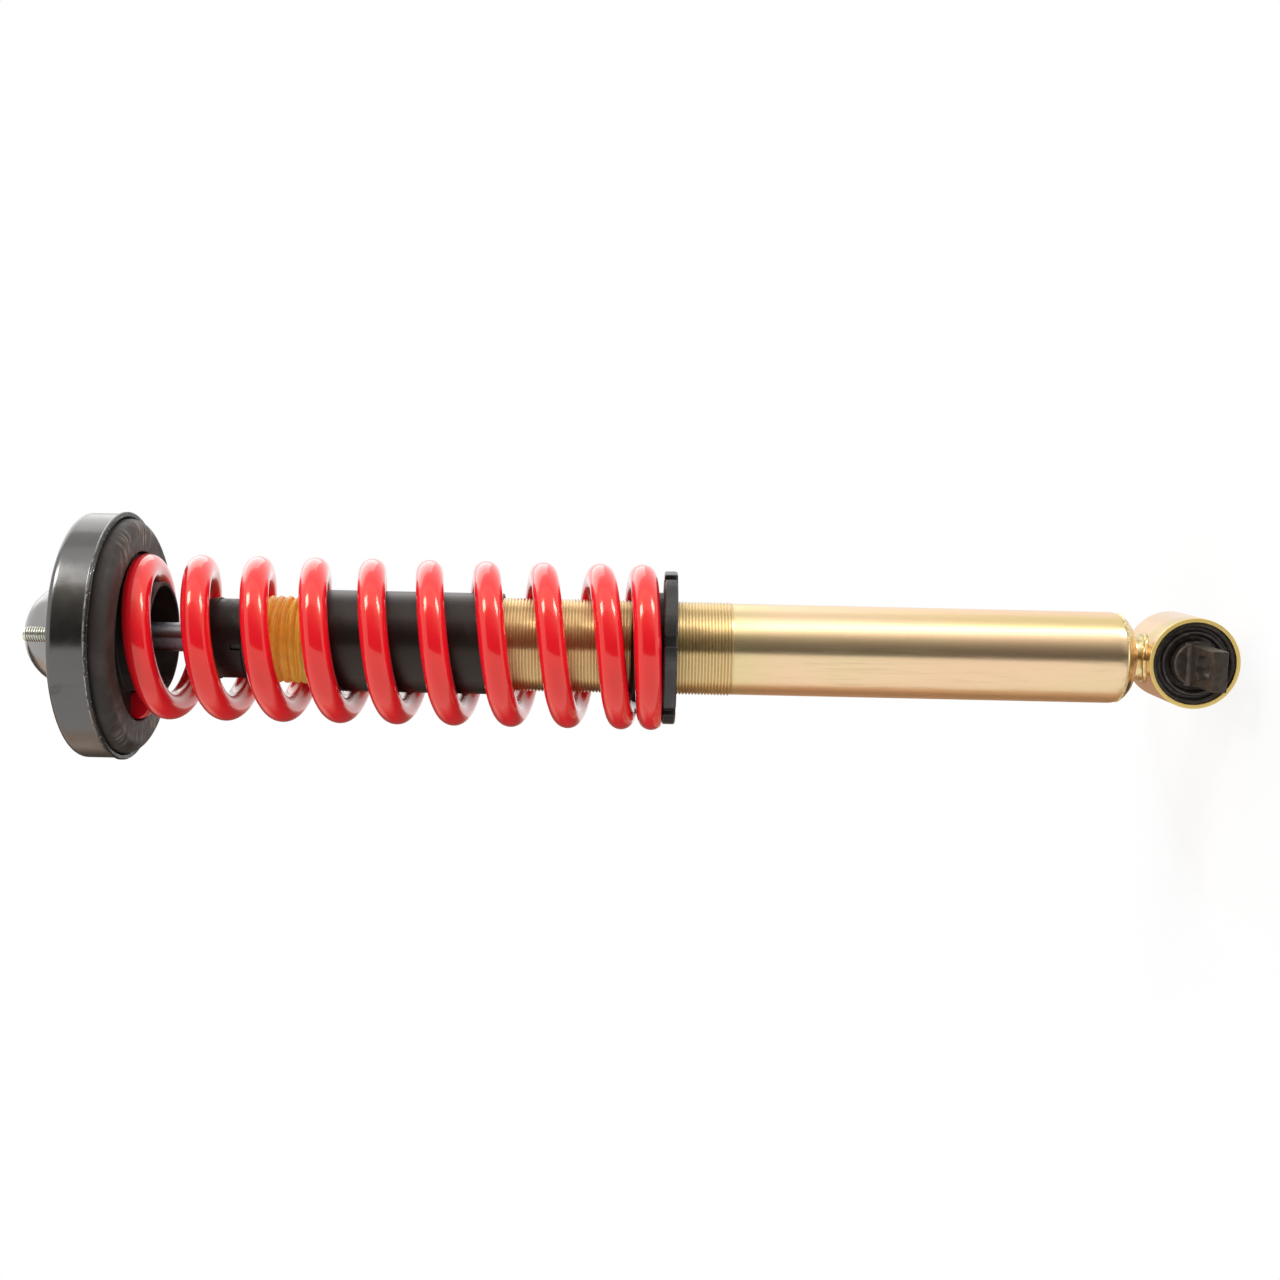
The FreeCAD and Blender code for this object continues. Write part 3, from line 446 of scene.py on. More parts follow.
def spring_paint():
    """Glossy powder coat: faint orange peel and a slightly uneven film."""
    made = Finish("spring_paint", Coat_Weight=1.0, Coat_Roughness=0.085, Coat_IOR=1.5, IOR=1.5,
                  Specular_Tint=(1, 0.5, 0.08))
    base = tuple(colours().spring)
    return made.dressed(made.mix(made.noise(55, 2), tint(base, 0.9), tint(base, 1.08)),
                        made.wander(made.noise(220), 0.16, 0.24), (made.noise(150, 2), 0.005))


def cup_coating():
    """Satin dip coat on pressed steel: smudges, drawing lines, a dome painted lighter as if lit
    from behind, a painted highlight along the wall's edge as a bright broken line, and a dark,
    rough, chipped lip below it."""
    made = Finish("cup_coating", Metallic=1.0)
    base = tuple(colours().cup)
    _, angle, height = made.round_axis()
    # painted light: the dome's coat is painted lighter, as if lit from behind
    backlit_dome = made.ramp(height, 0.4, 1.2)
    edge = made.times(made.ramp(height, -20.1, -20.6), made.ramp(height, -21.4, -20.9))
    lip = made.ramp(height, -20.7, -21.3)
    smudge = made.window(made.noise(46, 4, warp=0.6), 0.56, 0.72)
    # painted highlight: a broken bright line where the flare's corner reflects the light above
    edge_highlight = made.times(edge, made.window(made.noise(330, 4, roughness=0.65), 0.42, 0.6))
    chips = made.times(lip, made.window(made.noise(640, 5, roughness=0.75), 0.6, 0.66))
    tone = made.mix(made.times(smudge, 0.55), base, tint(base, 0.55))
    tone = made.mix(made.times(lip, 0.8), tone, tint(base, 0.2))
    tone = made.mix(edge_highlight, tone, tint(base, 4.2))
    tone = made.mix(backlit_dome, tone, tint(base, 2.3))
    tone = made.mix(made.times(chips, 0.7), tone, (0.82, 0.79, 0.74))
    grain = made.window(made.noise(130, 4), 0.25, 0.75, 0.16, 0.24)
    rough = made.plus(made.plus(grain, made.times(lip, 0.16)), made.times(smudge, 0.1))
    return made.dressed(tone, rough, (made.lines(3, (angle, 9), 0, (height, 900)), 0.012),
                        (made.noise(260, 4), 0.02), (made.times(lip, made.noise(620, 4)), 0.16))


def bright_zinc():
    """Zinc plate with a faint yellow cast and dull patches."""
    made = Finish("bright_zinc", Metallic=1.0)
    patches = made.window(made.noise(260), 0.35, 0.65)
    return made.dressed(made.mix(patches, (0.80, 0.79, 0.74), (0.70, 0.71, 0.58)),
                        made.wander(made.noise(400), 0.2, 0.34), (made.noise(900, 2), 0.01))


def isolator_rubber():
    """Moulded rubber: rings, a matt grain and a faint bloom, with dusty radial rub marks in
    patches on the two sides of the face that lie far from the plane x = 0."""
    made = Finish("isolator_rubber", Specular_IOR_Level=0.3)
    radius, angle, height = made.round_axis()
    sideways = made.math("ABSOLUTE", made.times(radius, made.math("COSINE", angle)))
    face = made.times(made.ramp(height, -25, -29.5), made.ramp(sideways, 18, 44))
    streaks = made.window(made.lines(4, (angle, 30), (radius, 60), 0), 0.42, 0.7)
    patches = made.window(made.noise(21, 2, warp=0.8), 0.42, 0.62)
    dust = made.times(made.times(streaks, patches), face)
    bloom = made.times(made.window(made.noise(90), 0.4, 0.75), 0.06)
    tone = made.mix(made.plus(dust, bloom, clamp=True), tuple(colours().rubber),
                    (0.36, 0.31, 0.27))
    rough = made.plus(made.wander(made.noise(160), 0.48, 0.6), made.times(dust, 0.25))
    return made.dressed(tone, rough, (made.lines(2, 0, 0, (radius, 1500)), 0.02),
                        (made.noise(700), 0.03), (dust, 0.02))


def bush_rubber():
    """Smooth moulded rubber with a slight sheen and release marks."""
    made = Finish("bush_rubber", Specular_IOR_Level=0.5)
    radius = made.round_axis("Y", EYE_CENTRE)[0]
    marks = made.window(made.noise(300), 0.45, 0.75)
    return made.dressed(made.mix(marks, (0.020, 0.015, 0.012), (0.065, 0.050, 0.040)),
                        made.wander(made.noise(220), 0.3, 0.44),
                        (made.lines(2, 0, 0, (radius, 2600)), 0.02), (made.noise(900), 0.02))


def rod_chrome():
    """Hard chrome with faint polishing lines round the rod."""
    made = Finish("rod_chrome", Metallic=1.0, Anisotropic=0.9, Anisotropic_Rotation=0.25)
    made.smeared()
    _, angle, height = made.round_axis()
    polish = made.lines(2, (angle, 2), 0, (height, 5200))
    return made.dressed(made.mix(made.noise(60, 2), (0.30, 0.305, 0.33), (0.35, 0.355, 0.38)),
                        made.wander(polish, 0.26, 0.34), (polish, 0.002))


def black_plastic():
    """Satin moulded plastic with a fine grain."""
    made = Finish("black_plastic", Specular_IOR_Level=0.36, Specular_Tint=(1, 0.88, 0.8))
    patches = made.window(made.noise(120), 0.4, 0.8)
    return made.dressed(made.mix(patches, (0.004, 0.003, 0.003), (0.013, 0.010, 0.009)),
                        made.wander(made.noise(350), 0.34, 0.5), (made.noise(1100), 0.025))


def dust_plastic():
    """Drawn plastic tube: faint lines along it, dust and light scuffs."""
    made = Finish("dust_plastic", Specular_IOR_Level=0.5, Specular_Tint=(1, 0.84, 0.74))
    drawn = made.noise(1, 3, made.scaled((900, 900, 14)))
    scuff = made.window(made.noise(38, 5, warp=1.2), 0.58, 0.74)
    tone = made.mix(made.times(scuff, 0.5), (0.006, 0.0035, 0.003), (0.03, 0.023, 0.02))
    rough = made.plus(made.wander(drawn, 0.3, 0.4), made.times(scuff, 0.12))
    return made.dressed(tone, rough, (drawn, 0.012), (made.noise(800), 0.012))


def yellow_foam():
    """Skinned foam: mottled colour, small pits, a soft glow through the skin, and painted dark as
    shade where it enters its cup."""
    made = Finish("yellow_foam", Subsurface_Weight=0.5, Subsurface_Scale=0.004,
                  Specular_IOR_Level=0.5)
    base = tuple(colours().foam)
    mottle = made.noise(170, 4, warp=0.5)
    tone = made.mix(made.window(mottle, 0.3, 0.7), tint(base, 0.92), tint(base, 1.05))
    # painted shade: near black above an uneven line just past the cup's end, as if the cup shaded
    # it
    shade_edge_height = made.plus(made.round_axis()[2], made.times(mottle, 1.2 * MM))
    tone = made.mix(made.ramp(shade_edge_height, -92.1, -91.1), tone, (0.012, 0.009, 0.007))
    cells = made.node("TexVoronoi", {"Vector": made.place, "Scale": 900}, feature="F1")
    return made.dressed(tone, made.wander(made.noise(420), 0.34, 0.46), (made.noise(300), 0.03),
                        (cells.outputs["Distance"], 0.006))


def collar_anodise():
    """Dark anodised aluminium with turning lines and lighter patches."""
    made = Finish("collar_anodise", Metallic=0.55, Specular_IOR_Level=0.5)
    radius, angle, height = made.round_axis()
    turned = made.lines(3, (radius, 3800), (angle, 3), (height, 3800))
    patches = made.window(made.noise(90), 0.4, 0.75)
    return made.dressed(made.mix(patches, (0.046, 0.044, 0.043), (0.074, 0.070, 0.067)),
                        made.wander(turned, 0.22, 0.32), (turned, 0.012))


def zinc_stains(made, angle, height):
    """The tone of yellow chromate on zinc, and its scratches: gold with faint rose and green, more
    olive towards the thread, an olive painted reflection on one side near the closed end, darker
    in the scratches."""
    base = tuple(colours().zinc)
    hue = made.noise(1, 2, made.scaled((22, 22, 9)), warp=0.4)
    tone = made.mix(made.window(hue, 0.45, 0.8, 0.0, 0.55), base, (0.87, 0.59, 0.39))
    tone = made.mix(made.window(hue, 0.52, 0.25, 0.0, 0.4), tone, (0.80, 0.68, 0.38))
    near_thread = made.times(made.ramp(height, -385, -352), 0.55)
    tone = made.mix(near_thread, tone, (0.74, 0.66, 0.31))
    # painted reflection: an olive band on the side above the camera's view, near the closed end
    from_side = made.math("ABSOLUTE", made.plus(angle, 0.63))
    olive_reflection = made.times(made.window(from_side, 0.36, 0.1), made.ramp(height, -400, -520))
    tone = made.mix(made.times(olive_reflection, 0.7), tone, (0.76, 0.61, 0.26))
    lengthwise = made.noise(1, 4, made.scaled((700, 700, 26)), roughness=0.7)
    scratches = made.window(lengthwise, 0.5, 0.72)
    return made.mix(made.times(scratches, 0.3), tone, tint(base, 0.66)), scratches


def yellow_zinc(part):
    """Yellow zinc. On the tube, fine lines smear its gloss lengthwise and the thread is duller. The
    welds are brassy, brown in patches, and lumpy. The eye's turned rims are a dull yellow."""
    on_tube = part == "tube"
    made = Finish("zinc_" + part, Metallic=1.0, Anisotropic=0.9 * on_tube,
                  Anisotropic_Rotation=0.25 * on_tube)
    _, angle, height = made.round_axis()
    turned = made.lines(3, (angle, 4), 0, (height, 3400))
    if part == "weld":
        brown = made.window(made.noise(420), 0.4, 0.75)
        return made.dressed(made.mix(brown, (0.82, 0.66, 0.36), (0.52, 0.41, 0.19)),
                            made.wander(made.noise(300), 0.14, 0.26),
                            (made.noise(300, 4), 0.03), (turned, 0.004))
    tone, scratches = zinc_stains(made, angle, height)
    if on_tube:
        made.smeared()
        tone = made.mix(made.ramp(height, -354.9, -353.7), tone, (0.74, 0.57, 0.30))
        rough = made.plus(made.wander(turned, 0.30, 0.36), made.times(scratches, 0.1))
        return made.dressed(tone, rough, (turned, 0.004))
    rim = made.ramp(made.math("ABSOLUTE", made.round_axis("Y", EYE_CENTRE)[2]), 21.4, 21.9)
    rough = made.plus(made.wander(turned, 0.16, 0.24), made.times(rim, 0.45))
    return made.dressed(made.mix(rim, tone, (0.92, 0.72, 0.27)), rough,
                        (made.noise(300, 4), 0.012), (turned, 0.004))


def pin_phosphate():
    """Phosphated forging: mottled grey-brown and pitted."""
    made = Finish("pin_phosphate", Metallic=0.7, Specular_IOR_Level=0.5)
    mottle = made.window(made.noise(240, 5, warp=0.4), 0.35, 0.7)
    return made.dressed(made.mix(mottle, (0.060, 0.046, 0.037), (0.096, 0.077, 0.063)),
                        made.wander(made.noise(500, 4), 0.4, 0.56), (made.noise(420, 5), 0.05))


def plain_steel():
    """Machined steel with lines round its axis."""
    made = Finish("plain_steel", Metallic=1.0)
    radius, angle, height = made.round_axis()
    turned = made.lines(3, (radius, 2500), (angle, 2), (height, 2500))
    return made.dressed(made.mix(made.noise(150), (0.44, 0.44, 0.44), (0.55, 0.55, 0.54)),
                        made.wander(turned, 0.24, 0.38), (turned, 0.006))


def soft_seal(name, dark, light):
    """Matt filled plastic or rubber with a fine grain."""
    made = Finish(name, Specular_IOR_Level=0.4)
    return made.dressed(made.mix(made.noise(260), dark, light),
                        made.wander(made.noise(500), 0.45, 0.6), (made.noise(900), 0.02))


# Pieces ----------------------------------------------------------------------
# Sizes are in millimetres, and outlines are (radius, height, rounding).

class STRUT_OT_cup(bpy.types.Operator):
    """The pressed cup with its rounded corner and hemmed lip"""
    bl_idname = "strut.cup"
    bl_label = "Cup"

    def execute(self, context):
        outline = refined(rounded([
            (13.1, 0, 0.3), (67, 0, 4), (67, -20.0, 1.0), (67.5, -20.7, 0.5), (68, -21.2, 0.5),
            (68, -22.8, 0.7), (65.7, -22.8, 0.6), (64.5, -21.8, 0.5), (64.5, -2.5, 1.5),
            (13.1, -2.5, 0.3),
        ], steps=7), 3)
        waviness, wall_inside, lip_top, lip_height = in_mm(sizes().lip_waviness), 60, -20.4, 1.6

        def hemmed(angle, radius, height):
            """The wall is a little out of round, and the lip's edge wanders in and out, up and
            down."""
            wall = radius > wall_inside
            near_lip = np.clip((lip_top - height) / lip_height, 0, 1) * wall
            rough = waves(angle, 3, 3, 40) * waviness + waves(angle, 4, 40, 160) * waviness * 0.45
            out_of_round = waves(angle, 5, 2, 6) * 0.05 * wall
            return (radius + near_lip * np.minimum(rough, 0.05) + out_of_round,
                    height + near_lip * np.maximum(rough, -0.04))

        add_piece("cup_shell", [lathe(outline, 360, ripple=hemmed)], "top_mount",
                  cup_coating(), ("mount_cup",))
        return {"FINISHED"}


class STRUT_OT_studs(bpy.types.Operator):
    """Three threaded studs with their pressed shoulders and heads"""
    bl_idname = "strut.studs"
    bl_label = "Studs"

    def execute(self, context):
        core = lathe(rounded([
            (0, 16.9, 0), (2.9, 16.9, 0.2), (3.35, 16.3, 0.1), (3.32, 1.2, 0.1), (3.9, 0.7, 0.1),
            (3.9, 0.02, 0.05), (4.6, 0.02, 0.1), (4.6, -2.5, 0.1), (8, -2.5, 0.3), (8, -5.5, 0.5),
            (0, -5.5, 0),
        ], steps=3, closed=False), 48, closed=False)
        ridge = thread(crest=4.0, depth=0.66, pitch=1.25, bottom=0.9, top=16.7, steps=48,
                       fades=(1.2, 1.6), rests=(3.35, 3.2))
        from_axis, apart = 47, 120
        stud = moved(together([core, ridge]), (from_axis, 0, 0))
        studs = [spun(stud, math.degrees(CAMERA_SIDE) + apart * number) for number in range(3)]
        add_piece("stud_threads", studs, "top_mount", bright_zinc(),
                  ("mount_studs",))
        return {"FINISHED"}


class STRUT_OT_isolator(bpy.types.Operator):
    """The moulded rubber isolator with its face, spring recess and centring lip"""
    bl_idname = "strut.isolator"
    bl_label = "Isolator"

    def execute(self, context):
        side = rounded([
            (56.8, -30.3, 0), (46.5, -30.3, 0.9), (46.4, -25, 0.6), (30.2, -25, 1.2),
            (30.2, -42, 0.4), (28.0, -42, 0.4), (28.0, -20.5, 1.0), (22.3, -20.5, 0.4),
            (22.3, -2.6, 0.3), (64.3, -2.6, 1.5), (64.3, -22.0, 0),
        ], steps=6, closed=False)
        corner = arc((56.9, -22.9), 7.4, 0, -90, 12)
        still_above, full_below, inner_edge = -27, -30, 47

        def moulded(angle, radius, height):
            """The face swells unevenly and in rings."""
            face = np.clip((still_above - height) / (still_above - full_below), 0, 1)
            swell = waves(angle, 8, 2, 9) * 0.18 + 0.1 * np.sin((radius - inner_edge) * 0.9)
            return radius, height + face * swell

        moulding = lathe(refined(np.vstack([side, corner]), 2.5), 240, ripple=moulded)
        add_piece("isolator_moulding", [moulding], "top_mount",
                  isolator_rubber(), ("isolator",))
        return {"FINISHED"}


class STRUT_OT_bump_stop(bpy.types.Operator):
    """The ribbed foam bump stop"""
    bl_idname = "strut.bump_stop"
    bl_label = "Bump stop"

    def execute(self, context):
        corners = [(8.4, -69.5, 0.4), (19.6, -69.5, 0.6), (19.6, -88.9, 0.2), (21.5, -89.0, 0.4),
                   (21.7, -91.4, 0.4), (23.4, -92.6, 1.0), (23.9, -97.2, 1.2)]
        for groove in (-98.6, -103.5, -108.4, -113.3, -118.2):
            corners += [(21.5, groove - 0.3, 0.7), (23.2, groove - 1.3, 1.0),
                        (24.2, groove - 2.6, 1.5), (23.3, groove - 4.2, 1.2)]
        corners += [(23.2, -123.8, 0.5), (20.3, -123.9, 0.2), (20.3, -126.3, 0.2),
                    (22.8, -126.5, 0.6), (22.6, -128.2, 0.6), (21.4, -129, 0.5), (8.4, -129, 0.4)]
        outline = refined(rounded(corners, steps=4), 0.7)
        rib_root, rib_depth, last_rib_end = 20.5, 2, -123.6

        def uneven(angle, radius, height):
            """The ribs drift up and down and swell as they go round."""
            out = np.clip((radius - rib_root) / rib_depth, 0, 1) * (height > last_rib_end)
            drift = waves(angle + height * 0.03, 12, 1, 7) * 0.55 + waves(angle, 13, 7, 30) * 0.12
            swell = waves(angle - height * 0.11, 14, 2, 12) * 0.22
            return radius + out * swell, height + out * drift

        piece = add_piece("bump_foam", [lathe(outline, 220, ripple=uneven)], "bumper",
                          yellow_foam(), ("bump_stop",))
        return {"FINISHED"}


class STRUT_OT_spring(bpy.types.Operator):
    """The coil spring with closed and ground ends"""
    bl_idname = "strut.spring"
    bl_label = "Spring"

    def execute(self, context):
        wire, radius = in_mm(sizes().wire_radius), in_mm(sizes().coil_radius)
        turns = sizes().coil_turns
        top_seat, bottom_seat, tip_angle = -25.0, -316.1, math.radians(190)
        stations_a_turn, wire_sides = 180, 52
        # each end: closed pitch, closed turns, easing turns, and from its seat to its tip's middle
        ends = {"top": (8.0, 0.45, 0.25, 3.5), "bottom": (8.3, 0.0, 1.6, 5.0)}
        closed = sum(pitch * (share + ramp / 2) + inset
                     for pitch, share, ramp, inset in ends.values())
        open_turns = turns - sum(share + ramp / 2 for _, share, ramp, _ in ends.values())
        open_pitch = (top_seat - bottom_seat - closed) / open_turns

        def gained(count, end):
            """Height gained over this many turns from a tip: closed, easing, then open coils."""
            pitch, share, ramp, _ = ends[end]
            easing = np.clip(count - share, 0, ramp)
            past = np.maximum(count - share - ramp, 0)
            shut = pitch * np.minimum(count, share) + easing * pitch
            return shut + (open_pitch - pitch) * easing ** 2 / (2 * ramp) + past * open_pitch

        count = np.linspace(0, turns, int(turns * stations_a_turn))
        height = np.where(count < turns / 2, top_seat - ends["top"][3] - gained(count, "top"),
                          bottom_seat + ends["bottom"][3] + gained(turns - count, "bottom"))
        angle = tip_angle - TURN * count
        path = polar(radius, angle, height)
        along = np.gradient(path, axis=0)
        along /= np.linalg.norm(along, axis=1)[:, None]
        side = np.cross(along, polar(1, angle, 0 * angle))
        side /= np.linalg.norm(side, axis=1)[:, None]
        across = np.cross(side, along)

        # five rings close each tip, at these depths from its cut and with these shares of the wire
        shift = np.array([0, 0, 0.12, 0.5, 1.1])
        share = np.array([1e-4, 0.86, 0.95, 0.985, 1])
        last = len(count) - 1
        path = np.vstack([path[0] + along[0] * shift[:, None], path[1:-1],
                          path[-1] - along[-1] * shift[::-1, None]])
        scale = np.concatenate([share, np.ones(last - 1), share[::-1]])
        station = np.concatenate([[0] * 5, np.arange(1, last), [last] * 5])
        points, quads = swept(path, across[station], side[station],
                              circle(wire_sides) * wire * scale[:, None, None])
        points[:, 2] = np.clip(points[:, 2], bottom_seat, top_seat)
        piece = add_piece("spring_coil", [(points, quads)], "coil",
                          spring_paint(), ("spring",), 50)
        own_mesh(piece)
        return {"FINISHED"}


class STRUT_OT_collar(bpy.types.Operator):
    """The notched adjuster collar with its chamfered edges"""
    bl_idname = "strut.collar"
    bl_label = "Collar"

    def execute(self, context):
        rim, notch_floor, half_notch, first_notch, rim_steps = 42, 38.8, 3.15, -78.8, 14
        bore, recess, recess_floor = 25.55, 37.3, -317.6
        bottom, top = -323.5, -316.4
        edge = math.sqrt(rim ** 2 - half_notch ** 2)
        start = math.asin(half_notch / rim)
        sweep = math.radians(60) - 2 * start
        corners = []
        for number in range(6):
            centre = math.radians(first_notch + 60 * number)
            along = np.array([math.cos(centre), math.sin(centre)])
            across = np.array([-math.sin(centre), math.cos(centre)])
            for side, reach, rounding in ((-1, edge, 0.35), (-1, notch_floor, 0.5),
                                          (1, notch_floor, 0.5), (1, edge, 0.35)):
                corners.append((*(along * reach + across * half_notch * side), rounding))
            for step in range(1, rim_steps):
                angle = centre + start + sweep * step / rim_steps
                corners.append((rim * math.cos(angle), rim * math.sin(angle), 0.0))
        outline = refined(rounded(corners, steps=4), 1.2)
        tangent = np.roll(outline, -1, 0) - np.roll(outline, 1, 0)
        tangent /= np.linalg.norm(tangent, axis=1)[:, None]
        inwards = np.stack([-tangent[:, 1], tangent[:, 0]], -1)
        angle = np.arctan2(outline[:, 1], outline[:, 0])
        facing = np.stack([np.cos(angle), np.sin(angle)], -1)

        # loops of points and their heights, from the bore down and out, up the rim and back in
        chamfer = ((1.6, 0), (0.8, 0), (0.2, 0.55), (0, 0.8))     # inset, and height from the face
        loops = [(facing * bore, bottom + 0.6), (facing * 26.15, bottom), (facing * 30, bottom)]
        loops += [(outline + inwards * inset, bottom + rise) for inset, rise in chamfer]
        loops += [(outline + inwards * inset, top - rise) for inset, rise in reversed(chamfer)]
        loops += [(facing * 37.4, top), (facing * recess, top - 0.1),
                  (facing * recess, recess_floor), (facing * bore, recess_floor)]
        points = np.stack([np.column_stack([loop, np.full(len(loop), height)])
                           for loop, height in loops], 1)
        add_piece("collar_ring", [sheet(points, True, True)], "collar",
                  collar_anodise(), ("adjuster_collar",), 30)
        return {"FINISHED"}


class STRUT_OT_body(bpy.types.Operator):
    """The damper's body: threaded, plain, then spun inwards, with its toothed closing weld"""
    bl_idname = "strut.body"
    bl_label = "Body"

    def execute(self, context):
        side = rounded([
            (22.5, -520, 0), (22.5, -219.5, 0.2), (24.4, -219.5, 0.3), (24.35, -353.0, 0.1),
            (25.0, -354.1, 0.3), (25.0, -520, 0),
        ], closed=False)
        bend_centre, outer_bend, inner_bend = (12.7, -560.4), 12.3, 9.8
        bend_end = math.degrees(math.acos(5 / 12.5))
        outside = arc(bend_centre, outer_bend, 0, -bend_end, 24)
        inside = arc(bend_centre, inner_bend, -bend_end * 0.98, 0, 16)
        core = lathe(refined(np.vstack([side, outside, inside]), 12), 200)
        ridge = thread(crest=25.5, depth=in_mm(sizes().thread_depth),
                       pitch=in_mm(sizes().thread_pitch), bottom=-354.0, top=-219.6, steps=120,
                       fades=(1.4, 1.3), rests=(24.98, 24.4), flat=0.44)
        add_piece("body_skin", [core, ridge], "damper", yellow_zinc("tube"),
                  ("body_tube",), 55)
        seam = toothed_bead(23.0, -567.0, sizes().weld_ripples)
        add_piece("seam_weld", [seam], "damper", yellow_zinc("weld"), (), 60)
        return {"FINISHED"}


class STRUT_OT_neck(bpy.types.Operator):
    """The neck between the body and the eye, with its weld beads"""
    bl_idname = "strut.neck"
    bl_label = "Neck"

    def execute(self, context):
        neck = lathe(refined(rounded([
            (0, -568, 0), (17.4, -568, 0.3), (17.4, -571.8, 0.4), (13.0, -571.8, 0.8),
            (12.0, -573.6, 2), (11.9, -576.4, 2), (12.6, -578.0, 1.5), (12.2, -580.2, 0.2),
            (0, -580.2, 0),
        ], steps=8, closed=False), 1.0, closed=False), 120, closed=False)
        angle, reach, eye_radius = even_angles(360), 12.8, 24.6
        saddle = EYE_CENTRE[2] + np.sqrt(eye_radius ** 2 - (reach * np.cos(angle)) ** 2)
        eye_bead = round_bead(angle, reach, saddle, 1.3 + 0.15 * waves(angle, 31, 2, 10))
        top_bead = round_bead(angle, reach, -572.2, 0.8 + 0.08 * waves(angle, 32, 2, 10))
        add_piece("neck_weld", [neck, eye_bead, top_bead], "damper",
                  yellow_zinc("weld"), ("base_cap",), 60)
        return {"FINISHED"}


class STRUT_OT_eye(bpy.types.Operator):
    """The eye's steel ring and its moulded rubber bush"""
    bl_idname = "strut.eye"
    bl_label = "Eye"

    def execute(self, context):
        ring = laid(lathe(refined(rounded([
            (22.3, 22, 0.25), (24.5, 22, 0.45), (24.5, -22, 0.45), (22.3, -22, 0.25),
        ]), 2.5), 180))
        add_piece("eye_band", [ring], "damper", yellow_zinc("eye"), ("eye_ring",))
        front = [(12.3, 17.5, 0.2), (15.0, 17.6, 0.5), (15.6, 20.9, 0.3), (16.4, 21.3, 0.5),
                 (17.1, 20.9, 0.3), (17.6, 18.2, 0.5), (19.4, 18.2, 0.5), (19.9, 20.6, 0.4),
                 (21.0, 21.2, 0.6), (22.3, 20.6, 0.3)]
        back = [(across, -up, rounding) for across, up, rounding in reversed(front)]
        bush = laid(lathe(rounded(front + back), 160))
        add_piece("bush_moulding", [bush], "damper", bush_rubber(),
                  ("bush_rubber",))
        return {"FINISHED"}


class STRUT_OT_bar_pin(bpy.types.Operator):
    """The forged bar pin: a round middle and two flattened, slotted ends"""
    bl_idname = "strut.bar_pin"
    bl_label = "Bar pin"

    def execute(self, context):
        middle = laid(lathe(refined(rounded([
            (0, 25.6, 0), (11.5, 25.6, 0.9), (12.25, 24.6, 0.4), (12.25, -24.6, 0.4),
            (11.5, -25.6, 0.9), (0, -25.6, 0),
        ], closed=False), 4, closed=False), 120, closed=False))
        outer = refined(rounded([
            (10.65, 59.5, 0.7), (-10.65, 59.5, 0.7), (-10.65, 23.6, 0.2), (10.65, 23.6, 0.2),
        ], steps=4), 0.8)
        flare_start, flare_length, flare = 30.4, 4.8, 0.1
        root = np.clip((flare_start - outer[:, 1]) / flare_length, 0, 1)
        outer[:, 0] *= 1 + flare * root ** 2

        # the slot is two half circles, their centres shifted either way from its middle
        slot_middle, slot_radius, slot_shift = 45, 6.5, 4
        angle = np.arctan2(outer[:, 1] - slot_middle, outer[:, 0])
        cos, sin = np.cos(angle), np.sin(angle)
        side = slot_radius / np.maximum(np.abs(cos), 1e-6)
        end = slot_shift * np.abs(sin) + np.sqrt(
            np.maximum(slot_radius ** 2 - (slot_shift * cos) ** 2, 0))
        reach = np.where(side * np.abs(sin) <= slot_shift, side, end)
        slot = np.stack([reach * cos, slot_middle + reach * sin], -1)
        half_thick, fillet, fillet_start, side_height = 4, 2.6, 28.2, 3.2

        def row(share, height, soften=0.0):
            """A loop between the outer outline (share 0) and the slot (share 1), drawn in by the
            softening, that rises by a fillet to the round middle."""
            flat = outer + (slot - outer) * share
            way = flat - np.array([0, slot_middle])
            flat = flat - way / np.linalg.norm(way, axis=1)[:, None] * soften
            inside = np.clip(fillet_start - flat[:, 1], 0, fillet)
            lift = fillet - np.sqrt(np.maximum(fillet ** 2 - inside ** 2, 0))
            lifted = abs(height) + lift * (abs(height) > side_height)
            return np.column_stack([flat, np.sign(height) * lifted])

        rows = []
        for sign in (1, -1):
            face = half_thick * sign
            rise = [row(0, 3.4 * sign), row(0, 3.8 * sign, 0.18), row(0, face, 0.6)]
            rise += [row(share, face) for share in (0.12, 0.25, 0.4, 0.55, 0.7, 0.85)]
            rise += [row(1, face, -0.5), row(1, 3.85 * sign, -0.12), row(1, 3.5 * sign)]
            rows += rise[::sign]
        points, quads = sheet(np.stack(rows, 1), True, True)
        flats = [moved((points * [1, side, 1], quads), EYE_CENTRE) for side in (1, -1)]
        add_piece("bar_forging", [middle, *flats], "bar", pin_phosphate(),
                  ("bar_pin",), 40)
        return {"FINISHED"}


class STRUT_OT_finishes(bpy.types.Operator):
    """Finishes of the nodes that keep their own shape"""
    bl_idname = "strut.finishes"
    bl_label = "Finishes of the other pieces"

    def execute(self, context):
        bush_black = soft_seal("bush_black", (0.02, 0.018, 0.017), (0.035, 0.032, 0.03))
        seal_plastic = soft_seal("seal_plastic", (0.16, 0.13, 0.09), (0.24, 0.2, 0.13))
        wanted = {
            cup_coating(): ["dome_cap"],
            bright_zinc(): ["rod_nut", "piston_nut"],
            bush_black: ["upper_bush", "lower_bush", "rod_seal"],
            plain_steel(): ["upper_washer", "lower_washer", "spacer_sleeve", "rebound_stop",
                            "valve_shims", "piston", "gland_nut", "rod_guide", "inner_tube",
                            "foot_valve"],
            seal_plastic: ["piston_band"],
            rod_chrome(): ["piston_rod"],
            black_plastic(): ["bump_stop_cup", "spring_seat_ring"],
            dust_plastic(): ["dust_tube"],
        }
        for material, names in wanted.items():
            for name in names:
                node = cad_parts[name]
                node.data.materials.clear()
                node.data.materials.append(material)
        return {"FINISHED"}


